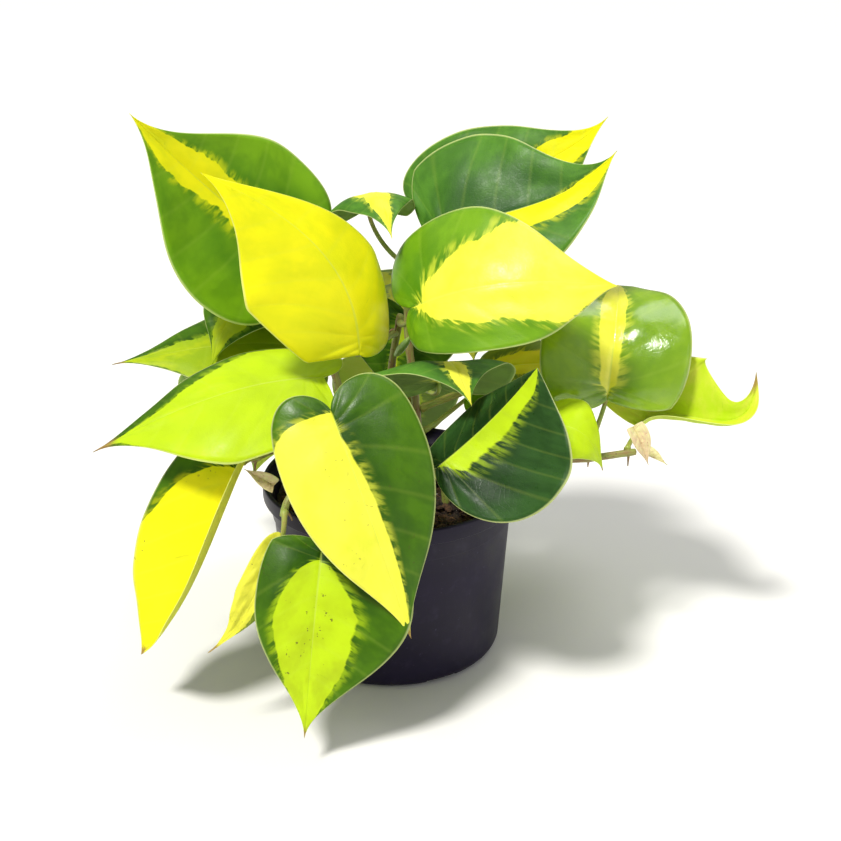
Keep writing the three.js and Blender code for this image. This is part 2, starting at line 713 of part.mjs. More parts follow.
const COLOURS = {
  pot: material('#322c40', 0.5),
  soil: material('#3a2a20', 0.95),
  stem: material('#7d8a45', 0.6),
  green: material('#4f8a34', 0.35),
  sheath: material('#d9d2a8', 0.6),
  shoot: material('#a9c46a', 0.45),
};

const plant = new THREE.Group();

function addPiece(name, geometry, look) {
  const mesh = new THREE.Mesh(geometry, look);
  mesh.name = name;
  plant.add(mesh);
}

addPiece('pot', potGeometry(), COLOURS.pot);
addPiece('soil', soilGeometry(), COLOURS.soil);
for (const name of Object.keys(STEMS)) addPiece(name, fitted(stemGeometry(name)), COLOURS.stem);
for (const [name, leaf] of Object.entries(LEAVES)) {
  addPiece(name, fitted(leafGeometry(leaf)), COLOURS.green);
}
for (const [name, sheath] of Object.entries(SHEATHS)) {
  addPiece(name, fitted(sheathGeometry(sheath)), COLOURS.sheath);
}
for (const [name, shoot] of Object.entries(SHOOTS)) {
  addPiece(name, fitted(shootGeometry(shoot)), COLOURS.shoot);
}

export default plant;
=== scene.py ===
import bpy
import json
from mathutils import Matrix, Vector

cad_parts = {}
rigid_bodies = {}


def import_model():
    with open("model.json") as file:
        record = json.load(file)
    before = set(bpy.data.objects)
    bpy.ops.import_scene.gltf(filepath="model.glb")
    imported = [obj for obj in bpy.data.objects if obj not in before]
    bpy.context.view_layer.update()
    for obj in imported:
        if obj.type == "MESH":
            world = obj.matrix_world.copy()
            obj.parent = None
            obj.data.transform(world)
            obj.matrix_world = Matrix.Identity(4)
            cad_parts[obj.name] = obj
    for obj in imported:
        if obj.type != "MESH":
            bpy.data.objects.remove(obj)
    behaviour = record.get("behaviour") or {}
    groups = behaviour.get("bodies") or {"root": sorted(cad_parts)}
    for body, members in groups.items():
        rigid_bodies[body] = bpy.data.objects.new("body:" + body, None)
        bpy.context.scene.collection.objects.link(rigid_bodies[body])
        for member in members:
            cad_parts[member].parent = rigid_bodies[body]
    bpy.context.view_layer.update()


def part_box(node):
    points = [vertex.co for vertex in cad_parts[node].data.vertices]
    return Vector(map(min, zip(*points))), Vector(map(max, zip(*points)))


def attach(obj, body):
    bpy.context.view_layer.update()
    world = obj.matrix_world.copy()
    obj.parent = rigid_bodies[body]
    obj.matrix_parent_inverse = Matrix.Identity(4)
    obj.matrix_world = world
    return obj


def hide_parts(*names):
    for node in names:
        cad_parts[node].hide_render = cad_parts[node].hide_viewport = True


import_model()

"""A potted heart-leaf philodendron: the plant and its pot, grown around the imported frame.

Sizes are millimetres in the plans and metres in the meshes. -Y is the front, +X the right.
"""

import json
import logging
import math
from dataclasses import dataclass, field
from enum import Enum

import bmesh
import bpy
import numpy as np
from mathutils import Vector

LOG = logging.getLogger("philodendron")
MM = 0.001
BODY = "root"
VEIN_STAGGER = 0.4  # The right half's side veins stand this far on, as a share of their spacing.


# ------------------------------------------------------------------ small maths


def unit(v: np.ndarray) -> np.ndarray:
    """Scales vectors along the last axis to length one.

    Args:
        v: One vector or an array of them.

    Returns:
        The same shape, each vector of length one.
    """
    return v / np.maximum(np.linalg.norm(v, axis=-1, keepdims=True), 1e-12)


def bezier(points: list, s: np.ndarray) -> np.ndarray:
    """Points on a cubic curve.

    Args:
        points: Four control points, or four control numbers.
        s: Shares of the curve from 0 to 1.

    Returns:
        One row for each share.
    """
    a, b, c, d = (np.atleast_1d(np.asarray(p, float)) for p in points)
    s = np.asarray(s, float)[:, None]
    q = 1 - s
    return q**3 * a + 3 * q * q * s * b + 3 * q * s * s * c + s**3 * d


def evenly(points: np.ndarray, count: int) -> tuple[np.ndarray, float]:
    """Spaces points evenly along a polyline.

    Args:
        points: The polyline.
        count: How many points to return.

    Returns:
        The points, and the polyline's length.
    """
    steps = np.linalg.norm(np.diff(points, axis=0), axis=1)
    run = np.concatenate([[0.0], np.cumsum(steps)])
    at = np.linspace(0, run[-1], count)
    return np.stack([np.interp(at, run, points[:, k]) for k in range(3)], 1), float(run[-1])


def frames_along(points: np.ndarray, start: np.ndarray,
                 origin: int) -> tuple[np.ndarray, np.ndarray, np.ndarray]:
    """Carries a normal along a curve without turning it about the curve.

    Args:
        points: Evenly spaced points.
        start: The normal wanted at the origin point.
        origin: Index of the point that the normal is set at.

    Returns:
        Tangents, normals, and tangent x normal, one row for each point.
    """
    tangents = unit(np.gradient(points, axis=0))
    normals = np.zeros_like(points)
    for order in (range(origin, len(points)), range(origin, -1, -1)):
        normal = np.asarray(start, float)
        for i in order:
            normal = unit(normal - (normal @ tangents[i]) * tangents[i])
            normals[i] = normal
    return tangents, normals, np.cross(tangents, normals)


def smooth_bump(x: np.ndarray, centre: float, width: float) -> np.ndarray:
    """A bell that is 1 at its centre."""
    return np.exp(-(((x - centre) / width) ** 2))


# ------------------------------------------------------------------ materials


def linear(hex_colour: str) -> tuple[float, float, float, float]:
    """Turns an sRGB hex colour to the linear RGBA that shaders take.

    Args:
        hex_colour: Six hex digits after a hash.

    Returns:
        Linear red, green, blue, and alpha 1.
    """
    srgb = (int(hex_colour[i : i + 2], 16) / 255 for i in (1, 3, 5))
    red, green, blue = (c / 12.92 if c <= 0.04045 else ((c + 0.055) / 1.055) ** 2.4 for c in srgb)
    return red, green, blue, 1.0


def add(tree: bpy.types.NodeTree, kind: str, inputs: dict | None = None, **settings) -> bpy.types.Node:
    """Adds one node with its settings, input values and links.

    Args:
        tree: The tree that the node joins.
        kind: The node's type name.
        inputs: Input socket, by name or index, to a value or to the output socket linked to it.
        settings: Properties of the node itself.

    Returns:
        The new node.
    """
    made = tree.nodes.new(kind)
    for key, value in settings.items():
        setattr(made, key, value)
    for key, value in (inputs or {}).items():
        if isinstance(value, bpy.types.NodeSocket):
            tree.links.new(value, made.inputs[key])
        else:
            made.inputs[key].default_value = value
    return made


def maths(tree: bpy.types.NodeTree, operation: str, *values) -> bpy.types.NodeSocket:
    """Adds a sum of one or two values and gives its result."""
    return add(tree, "ShaderNodeMath", dict(enumerate(values)), operation=operation).outputs[0]


def ramp(tree: bpy.types.NodeTree, value, low: float, high: float, to_low: float = 0.0,
         to_high: float = 1.0) -> bpy.types.NodeSocket:
    """Maps a value smoothly from one range to another and gives the result."""
    sizes = {0: value, 1: low, 2: high, 3: to_low, 4: to_high}
    return add(tree, "ShaderNodeMapRange", sizes, interpolation_type="SMOOTHSTEP").outputs[0]


def blend(tree: bpy.types.NodeTree, share, a, b) -> bpy.types.NodeSocket:
    """Mixes two colours, b at share 1, and gives the result."""
    return add(tree, "ShaderNodeMix", {0: share, 6: a, 7: b}, data_type="RGBA").outputs[2]


def profile(tree: bpy.types.NodeTree, value, heights: tuple[float, ...]) -> bpy.types.NodeSocket:
    """Draws a smooth curve over a value from 0 to 1.

    Args:
        tree: The tree that the node joins.
        value: The value, as a socket.
        heights: The curve's heights at even steps.

    Returns:
        The curve's height at the value.
    """
    node = add(tree, "ShaderNodeFloatCurve", {"Value": value})
    node.mapping.use_clip = False
    points = node.mapping.curves[0].points
    points[0].location = (0.0, heights[0])
    points[1].location = (1.0, heights[-1])
    for step, height in enumerate(heights[1:-1], start=1):
        points.new(step / (len(heights) - 1), height)
    node.mapping.update()
    return node.outputs[0]


def new_material(name: str) -> tuple[bpy.types.Material, bpy.types.NodeTree]:
    """Makes an empty node material.

    Args:
        name: The material's name.

    Returns:
        The material and its tree, with nothing in it.
    """
    material = bpy.data.materials.new(name)
    material.use_nodes = True
    material.node_tree.nodes.clear()
    return material, material.node_tree


def surface(tree: bpy.types.NodeTree, inputs: dict) -> None:
    """Ends a tree in a principled surface with these inputs."""
    shader = add(tree, "ShaderNodeBsdfPrincipled", inputs)
    add(tree, "ShaderNodeOutputMaterial", {"Surface": shader.outputs[0]})


def object_noise(tree: bpy.types.NodeTree, size_mm: float, detail: float = 3.0,
                 seed: float = 0.0) -> bpy.types.NodeSocket:
    """Adds noise whose features are about size_mm across, on the piece's own coordinates.

    Args:
        tree: The tree that the nodes join.
        size_mm: Width of one feature.
        detail: Octaves of finer noise.
        seed: Moves the pattern.

    Returns:
        The noise, from 0 to 1.
    """
    place = add(tree, "ShaderNodeTexCoord").outputs["Object"]
    sizes = {"Vector": place, "W": seed, "Scale": 1 / (size_mm * MM), "Detail": detail}
    return add(tree, "ShaderNodeTexNoise", sizes, noise_dimensions="4D").outputs["Fac"]


class Yellow(Enum):
    """Tones of the sectors that hold little chlorophyll."""

    SUN = "#F2EC14"
    PALE = "#F2EE4E"
    LIME = "#BEDB1A"
    MOSS = "#98B41E"
    GOLD = "#D9CC1E"


class Green(Enum):
    """Tones of the green sectors: the tone, and its darker patches."""

    FRESH = ("#76A418", "#4A7E10")
    BRIGHT = ("#88AC10", "#648E10")
    DEEP = ("#49720C", "#264B0A")
    GREY = ("#588A2C", "#2C581A")
    # A dark green deepened further to paint the shade its leaf lies in: partly the leaf's own tone, partly
    # painted shade.
    DARK_PAINTED_SHADE = ("#315424", "#183312")
    OLIVE = ("#7E922A", "#53691C")


@dataclass(frozen=True)
class LeafLook:
    """How one variegated leaf is coloured.

    left and right give the share of each half, out from the midrib, that is yellow at the base,
    at each quarter of the length, and at the tip.
    """

    left: tuple[float, ...] = (0.0, 0.1, 0.2, 0.4, 0.8)
    right: tuple[float, ...] = (0.0, 0.1, 0.2, 0.4, 0.8)
    yellow: Yellow = Yellow.SUN
    green: Green = Green.FRESH
    feather: float = 0.10
    roughness: float = 0.40
    tip_dry: float = 0.0
    grit: float = 0.0
    yellow_shade: str = "#CDD612"
    gloss: float = 0.18


class BladeChart:
    """Where a shader stands on a blade, as sockets, and streaks that follow the side veins."""

    def __init__(self, tree: bpy.types.NodeTree, seed: float) -> None:
        """Reads the blade's UV map (across, along).

        Args:
            tree: The material's tree.
            seed: Moves the streaks.
        """
        self.tree = tree
        self.seed = seed
        uv = add(tree, "ShaderNodeSeparateXYZ", {0: add(tree, "ShaderNodeUVMap", uv_map="blade").outputs[0]})
        self.across = maths(tree, "MULTIPLY_ADD", uv.outputs[0], 2.0, -1.0)
        self.out = maths(tree, "ABSOLUTE", self.across)
        self.along = uv.outputs[1]
        self.is_right = maths(tree, "GREATER_THAN", self.across, 0.0)

    def streaks(self, rows: float, spread: float, shift: float) -> bpy.types.NodeSocket:
        """Noise drawn out along the side veins, so that edges break up into brush strokes.

        Args:
            rows: Streaks along the blade.
            spread: Breaks across it.
            shift: Moves this noise away from the blade's others.

        Returns:
            The noise, from 0 to 1.
        """
        place = add(self.tree, "ShaderNodeCombineXYZ", {
            0: maths(self.tree, "MULTIPLY", self.across, spread),
            1: maths(self.tree, "MULTIPLY", self.along, rows),
            2: self.seed + shift,
        })
        sizes = {"Vector": place.outputs[0], "Scale": 1.0, "Detail": 3.0, "Roughness": 0.6}
        return add(self.tree, "ShaderNodeTexNoise", sizes).outputs["Fac"]


@dataclass(frozen=True)
class HeartLeafSkin:
    """Living leaf blade, waxy above and matt below.

    The wax gives a soft sheen with broken highlights, and the thin blade lets some light through.
    The values that end in share are the greatest share of one colour laid over another.
    """

    look: LeafLook
    seed: float
    veins: int
    rib_colour: str = "#C6D85A"
    margin_colour: str = "#DDE69A"
    under_colour: str = "#A9BE6E"
    dry_colour: str = "#9A7448"
    grit_colour: str = "#4A3A26"
    streak_rows: float = 6.5
    fine_rows: float = 42.0
    overlap_share: float = 0.42
    mottling_share: float = 0.45
    clouds_share: float = 0.40
    strokes_share: float = 0.42
    flecks_share: float = 0.4
    vein_share: float = 0.06
    rib_share: float = 0.4
    margin_share: float = 0.6
    under_share: float = 0.35
    mesh_mm: float = 1.8

    def edge(self, chart: BladeChart, fine: bpy.types.NodeSocket) -> bpy.types.NodeSocket:
        """How deep inside the yellow sector a place is.

        Args:
            chart: The blade's chart.
            fine: Its fine streaks.

        Returns:
            A share of the half's width, above 0 in the yellow and below 0 in the green.
        """
        tree, look = chart.tree, self.look
        coarse = chart.streaks(self.streak_rows, 1.4, 0.0)
        limits = [profile(tree, chart.along, shares) for shares in (look.left, look.right)]
        sizes = {0: chart.is_right, 2: limits[0], 3: limits[1]}
        limit = add(tree, "ShaderNodeMix", sizes, data_type="FLOAT")
        edge = maths(tree, "SUBTRACT", limit.outputs[0], chart.out)
        for noise, reach in ((coarse, 0.8 * look.feather), (fine, 0.2 * look.feather)):
            edge = maths(tree, "ADD", edge, ramp(tree, noise, 0.3, 0.7, -reach, reach))
        return edge

    def tissue(self, chart: BladeChart, fine: bpy.types.NodeSocket) -> bpy.types.NodeSocket:
        """Colour of the blade's green and yellow sectors.

        Args:
            chart: The blade's chart.
            fine: Its fine streaks.

        Returns:
            The colour, without veins.
        """
        tree, look = chart.tree, self.look
        edge = self.edge(chart, fine)
        pale_green = blend(tree, self.overlap_share, linear(look.green.value[0]), linear(look.yellow.value))
        # Where the two tissues lie over each other the green is paler, in a band beside the edge.
        overlap = maths(tree, "MULTIPLY", ramp(tree, edge, -0.20, -0.02), ramp(tree, fine, 0.4, 0.6))
        green = blend(tree, overlap, self.green_sector(chart), pale_green)
        flecks = ramp(tree, chart.streaks(50.0, 1.6, 33.0), 0.68, 0.76, 0.0, self.flecks_share)
        yellow = blend(tree, flecks, self.yellow_sector(chart), pale_green)
        return blend(tree, ramp(tree, edge, -0.015, 0.02), green, yellow)

    def green_sector(self, chart: BladeChart) -> bpy.types.NodeSocket:
        """Colour of the green: deepest over the middle of each half, lighter near the margin."""
        tree = chart.tree
        tone, shade = (linear(c) for c in self.look.green.value)
        depth = maths(tree, "MULTIPLY_ADD", chart.out, 0.45, chart.streaks(3.0, 1.3, 21.0))
        green = blend(tree, ramp(tree, depth, 0.45, 0.95), shade, tone)
        mottling = ramp(tree, chart.streaks(13.0, 2.6, 57.0), 0.38, 0.66, 0.0, self.mottling_share)
        return blend(tree, mottling, green, shade)

    def yellow_sector(self, chart: BladeChart) -> bpy.types.NodeSocket:
        """Colour of the yellow, mellowed in clouds and in strokes."""
        tree = chart.tree
        tone, shade = linear(self.look.yellow.value), linear(self.look.yellow_shade)
        clouds = ramp(tree, object_noise(tree, 17, 3, self.seed), 0.35, 0.7, 0.0, self.clouds_share)
        strokes = ramp(tree, chart.streaks(9.0, 1.8, 71.0), 0.42, 0.70, 0.0, self.strokes_share)
        return blend(tree, strokes, blend(tree, clouds, tone, shade), shade)

    def ribbed(self, chart: BladeChart, colour: bpy.types.NodeSocket) -> bpy.types.NodeSocket:
        """Lays the side veins, the midrib and the pale margin over a colour.

        Args:
            chart: The blade's chart.
            colour: The colour below them.

        Returns:
            The colour with them.
        """
        tree = chart.tree
        # Side veins stand every 1/veins of the blade's length, staggered on the two halves.
        phase = maths(tree, "ADD", maths(tree, "MULTIPLY", chart.along, float(self.veins)),
                      maths(tree, "MULTIPLY", chart.is_right, VEIN_STAGGER))
        vein = ramp(tree, maths(tree, "PINGPONG", phase, 0.5), 0.0, 0.09, self.vein_share, 0.0)
        colour = blend(tree, vein, colour, linear(self.rib_colour))
        width = ramp(tree, chart.along, 0.0, 1.0, 0.030, 0.008)
        beside = ramp(tree, maths(tree, "DIVIDE", chart.out, width), 0.4, 1.0)
        rib = maths(tree, "MULTIPLY", maths(tree, "SUBTRACT", 1.0, beside), self.rib_share)
        colour = blend(tree, rib, colour, linear(self.rib_colour))
        margin = ramp(tree, chart.out, 0.972, 0.996, 0.0, self.margin_share)
        return blend(tree, margin, colour, linear(self.margin_colour))

    def weathered(self, chart: BladeChart, fine: bpy.types.NodeSocket,
                  colour: bpy.types.NodeSocket) -> bpy.types.NodeSocket:
        """Lays the dry tip and the grit over a colour, on leaves that have them.

        Args:
            chart: The blade's chart.
            fine: Its fine streaks.
            colour: The colour below them.

        Returns:
            The colour with them.
        """
        tree, look = chart.tree, self.look
        if look.tip_dry > 0:
            run = maths(tree, "ADD", chart.along, ramp(tree, fine, 0, 1, -0.02, 0.02))
            dry = ramp(tree, run, 1 - look.tip_dry, 1 - 0.4 * look.tip_dry, 0.0, 0.85)
            colour = blend(tree, dry, colour, linear(self.dry_colour))
        if look.grit > 0:
            specks = ramp(tree, object_noise(tree, 1.6, 2, self.seed + 3), 0.66, 0.70, 0.0, 0.8)
            where = ramp(tree, object_noise(tree, 18, 1, self.seed + 5), 0.5, 0.6, 0.0, look.grit)
            colour = blend(tree, maths(tree, "MULTIPLY", specks, where), colour, linear(self.grit_colour))
        return colour

    def finish(self, tree: bpy.types.NodeTree, under: bpy.types.NodeSocket) -> dict:
        """Roughness and relief of the wax and the vein mesh.

        Args:
            tree: The material's tree.
            under: 1 on the underside, which is the rougher.

        Returns:
            Inputs of the principled surface.
        """
        wax = object_noise(tree, 3.0, 3, self.seed)
        roughness = ramp(tree, wax, 0.3, 0.7, self.look.roughness - 0.05, self.look.roughness + 0.08)
        place = add(tree, "ShaderNodeTexCoord").outputs["Object"]
        sizes = {"Vector": place, "Scale": 1 / (self.mesh_mm * MM)}
        mesh_veins = add(tree, "ShaderNodeTexVoronoi", sizes, feature="DISTANCE_TO_EDGE").outputs["Distance"]
        relief = maths(tree, "ADD", maths(tree, "MULTIPLY", wax, 0.6),
                       ramp(tree, mesh_veins, 0.0, 0.12, 0.0, 0.35))
        bump = add(tree, "ShaderNodeBump", {"Height": relief, "Strength": 0.35, "Distance": 0.12 * MM})
        return {"Roughness": maths(tree, "MULTIPLY_ADD", under, 0.25, roughness), "Normal": bump.outputs[0]}

    def material(self, name: str) -> bpy.types.Material:
        """Builds the blade's material.

        Args:
            name: The material's name.

        Returns:
            A material that reads the blade's UV map (across, along) and its face attribute under.
        """
        material, tree = new_material(name)
        chart = BladeChart(tree, self.seed)
        fine = chart.streaks(self.fine_rows, 3.0, 7.0)
        colour = self.weathered(chart, fine, self.ribbed(chart, self.tissue(chart, fine)))
        under = add(tree, "ShaderNodeAttribute", attribute_name="under").outputs["Fac"]
        matt = blend(tree, self.under_share, colour, linear(self.under_colour))
        surface(tree, {
            "Base Color": blend(tree, under, colour, matt), **self.finish(tree, under),
            "IOR": 1.42, "Specular IOR Level": self.look.gloss, "Subsurface Weight": 0.22,
            "Subsurface Radius": (0.9, 1.0, 0.3), "Subsurface Scale": 0.8 * MM,
        })
        return material


@dataclass(frozen=True)
class GreenBark:
    """Young stem skin: smooth and green, tanning with small corky flecks as it ages."""

    name: str
    young: str
    old: str
    fleck: str
    roughness: float = 0.5

    def material(self) -> bpy.types.Material:
        """Builds the stem material.

        Returns:
            A material whose tan share follows the UV map's run along the stem.
        """
        material, tree = new_material(self.name)
        uv = add(tree, "ShaderNodeSeparateXYZ", {0: add(tree, "ShaderNodeUVMap", uv_map="blade").outputs[0]})
        place = add(tree, "ShaderNodeCombineXYZ", {
            0: maths(tree, "MULTIPLY", uv.outputs[0], 9.0), 1: maths(tree, "MULTIPLY", uv.outputs[1], 5.0)})
        sizes = {"Vector": place.outputs[0], "Scale": 2.0, "Detail": 4.0}
        lines = add(tree, "ShaderNodeTexNoise", sizes).outputs["Fac"]
        age = ramp(tree, maths(tree, "ADD", lines, object_noise(tree, 9, 2)), 0.75, 1.25)
        colour = blend(tree, age, linear(self.young), linear(self.old))
        flecks = ramp(tree, object_noise(tree, 0.9, 2, 4.0), 0.62, 0.68, 0.0, 0.8)
        colour = blend(tree, flecks, colour, linear(self.fleck))
        bump = add(tree, "ShaderNodeBump", {"Height": lines, "Strength": 0.5, "Distance": 0.2 * MM})
        surface(tree, {
            "Base Color": colour, "Roughness": self.roughness, "Normal": bump.outputs[0],
            "Subsurface Weight": 0.1, "Subsurface Radius": (0.8, 0.8, 0.3), "Subsurface Scale": MM,
        })
        return material


@dataclass(frozen=True)
class MouldedPolypropylene:
    """Injection-moulded nursery pot plastic: near black with a violet cast, satin and dusty."""

    colour: str = "#171226"
    worn: str = "#221B34"
    dust: str = "#4A4460"

    def material(self) -> bpy.types.Material:
        """Builds the pot's material."""
        material, tree = new_material("moulded_polypropylene")
        cloud = object_noise(tree, 26, 3)
        colour = blend(tree, ramp(tree, cloud, 0.3, 0.75, 0.0, 0.7), linear(self.colour), linear(self.worn))
        powder = ramp(tree, object_noise(tree, 5, 5, 2.0), 0.5, 0.85, 0.0, 0.16)
        colour = blend(tree, powder, colour, linear(self.dust))
        place = add(tree, "ShaderNodeTexCoord").outputs["Object"]
        drawn = add(tree, "ShaderNodeMapping", {"Vector": place, "Scale": (1.0, 1.0, 0.12)}).outputs[0]
        scuffs = add(tree, "ShaderNodeTexNoise", {"Vector": drawn, "Scale": 1 / (1.1 * MM), "Detail": 3.0})
        specks = ramp(tree, object_noise(tree, 1.3, 1, 9.0), 0.72, 0.75, 0.0, 0.3)
        colour = blend(tree, specks, colour, linear(self.dust))
        roughness = ramp(tree, cloud, 0.3, 0.7, 0.38, 0.52)
        relief = maths(tree, "ADD", scuffs.outputs["Fac"], object_noise(tree, 0.8, 2, 5.0))
        bump = add(tree, "ShaderNodeBump", {"Height": relief, "Strength": 0.25, "Distance": 0.1 * MM})
        surface(tree, {"Base Color": colour, "Roughness": roughness, "Normal": bump.outputs[0],
                       "IOR": 1.49, "Specular IOR Level": 0.2})
        return material


@dataclass(frozen=True)
class LooseMatter:
    """Dry loose matter of the potting mix, such as peat, bark and perlite: dull and rough."""

    name: str
    tone: str
    dark: str
    grain_mm: float

    def material(self) -> bpy.types.Material:
        """Builds the matter's material."""
        material, tree = new_material(self.name)
        grain = object_noise(tree, self.grain_mm, 4)
        colour = blend(tree, ramp(tree, grain, 0.35, 0.65), linear(self.dark), linear(self.tone))
        bump = add(tree, "ShaderNodeBump", {"Height": grain, "Strength": 0.8, "Distance": 0.4 * MM})
        surface(tree, {"Base Color": colour, "Roughness": 0.92, "Normal": bump.outputs[0]})
        return material


# ------------------------------------------------------------------ mesh helpers


def mesh_object(name: str, points: np.ndarray, faces: list, material: bpy.types.Material,
                uv: list | None = None, under: list | None = None) -> bpy.types.Object:
    """Makes a smooth object from points in millimetres.

    Args:
        name: The piece's name.
        points: Its vertices, in millimetres in the row frame.
        faces: Vertex indices of each face.
        material: Its material.
        uv: For each face, one (across, along) pair for each corner.
        under: For each face, 1 where it is a blade's underside.

    Returns:
        The object, at the origin, linked to the scene.
    """
    mesh = bpy.data.meshes.new(name)
    mesh.from_pydata([tuple(p) for p in np.asarray(points) * MM], [], faces)
    if uv is not None:
        layer = mesh.uv_layers.new(name="blade")
        layer.data.foreach_set("uv", np.concatenate([np.ravel(corners) for corners in uv]))
    marks = mesh.attributes.new("under", "FLOAT", "FACE")
    marks.data.foreach_set("value", under if under is not None else [0.0] * len(faces))
    mesh.polygons.foreach_set("use_smooth", [True] * len(faces))
    mesh.materials.append(material)
    mesh.update()
    made = bpy.data.objects.new(name, mesh)
    bpy.context.scene.collection.objects.link(made)
    return made


def join_parts(name: str, parts: list[bpy.types.Object]) -> bpy.types.Object:
    """Joins objects into one, keeping their materials, UV maps and attributes.

    Args:
        name: The joined piece's name.
        parts: The objects, at least one.

    Returns:
        The first object, holding them all.
    """
    with bpy.context.temp_override(active_object=parts[0], selected_editable_objects=parts):
        bpy.ops.object.join()
    parts[0].name = name
    return parts[0]


def settle(piece: bpy.types.Object, slot: str, *nodes: str) -> None:
    """Hands a finished piece to the frame.

    Args:
        piece: The piece.
        slot: The record's material slot that it belongs to; not used.
        nodes: The CAD nodes that it stands for.
    """
    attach(piece, BODY)
    if nodes:
        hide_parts(*nodes)
    LOG.info("%s: %d faces", piece.name, len(piece.data.polygons))


@dataclass(frozen=True)
class Tube:
    """A closed round tube along a curve, with a radius for each point."""

    FIRST_NORMAL = (0.31, 0.87, 0.38)
    END_REACH = 0.35

    points: np.ndarray
    radii: np.ndarray
    sides: int = 14

    def object(self, name: str, material: bpy.types.Material) -> bpy.types.Object:
        """Makes the tube's mesh, with rounded ends.

        Args:
            name: The piece's name.
            material: Its material.

        Returns:
            The tube, its UV map running once round and once along.
        """
        tangents, normals, sideways = frames_along(self.points, np.array(self.FIRST_NORMAL), 0)
        angle = np.linspace(0, 2 * np.pi, self.sides, endpoint=False)[None, :, None]
        ring = normals[:, None] * np.cos(angle) + sideways[:, None] * np.sin(angle)
        skin = self.points[:, None] + ring * self.radii[:, None, None]
        before, beyond = (tangents[i] * self.END_REACH * self.radii[i] for i in (0, -1))
        ends = [self.points[0] - before, self.points[-1] + beyond]
        count, sides = len(self.points), self.sides
        faces, uv = [], []
        for i in range(count - 1):
            for k in range(sides):
                a, b = i * sides + k, i * sides + (k + 1) % sides
                faces.append((a, b, b + sides, a + sides))
                low, high = i / (count - 1), (i + 1) / (count - 1)
                left, right = k / sides, (k + 1) / sides
                uv.append(((left, low), (right, low), (right, high), (left, high)))
        first, last = count * sides, count * sides + 1
        for k in range(sides):
            after = (k + 1) % sides
            faces.append((first, after, k))
            uv.append(((0.5, 0.0),) * 3)
            faces.append((last, (count - 1) * sides + k, (count - 1) * sides + after))
            uv.append(((0.5, 1.0),) * 3)
        return mesh_object(name, np.concatenate([skin.reshape(-1, 3), ends]), faces, material, uv)


def lathe(profile: list[tuple[float, float]], segments: int) -> tuple[np.ndarray, list]:
    """Turns a closed profile about Z.

    Args:
        profile: (radius, height) points from the axis round to the axis again.
        segments: Steps round the turn.

    Returns:
        Vertices and faces, closed, with one vertex at each end on the axis.
    """
    angle = np.linspace(0, 2 * np.pi, segments, endpoint=False)
    inner = profile[1:-1]
    rings = [np.stack([r * np.cos(angle), r * np.sin(angle), np.full(segments, z)], 1) for r, z in inner]
    points = np.concatenate([*rings, [[0, 0, profile[0][1]]], [[0, 0, profile[-1][1]]]])
    start, end = len(points) - 2, len(points) - 1
    faces = []
    for i in range(len(inner) - 1):
        for k in range(segments):
            a, b = i * segments + k, i * segments + (k + 1) % segments
            faces.append((a, b, b + segments, a + segments))
    top = (len(inner) - 1) * segments
    for k in range(segments):
        after = (k + 1) % segments
        faces.append((start, after, k))
        faces.append((end, top + k, top + after))
    return points, faces


def arc(cx: float, cz: float, radius: float, start: float, stop: float,
        steps: int) -> list[tuple[float, float]]:
    """Points on an arc in the (radius, height) plane, angles in degrees."""
    turns = [math.radians(start + (stop - start) * i / steps) for i in range(steps + 1)]
    return [(cx + radius * math.cos(a), cz + radius * math.sin(a)) for a in turns]


# ------------------------------------------------------------------ the pot


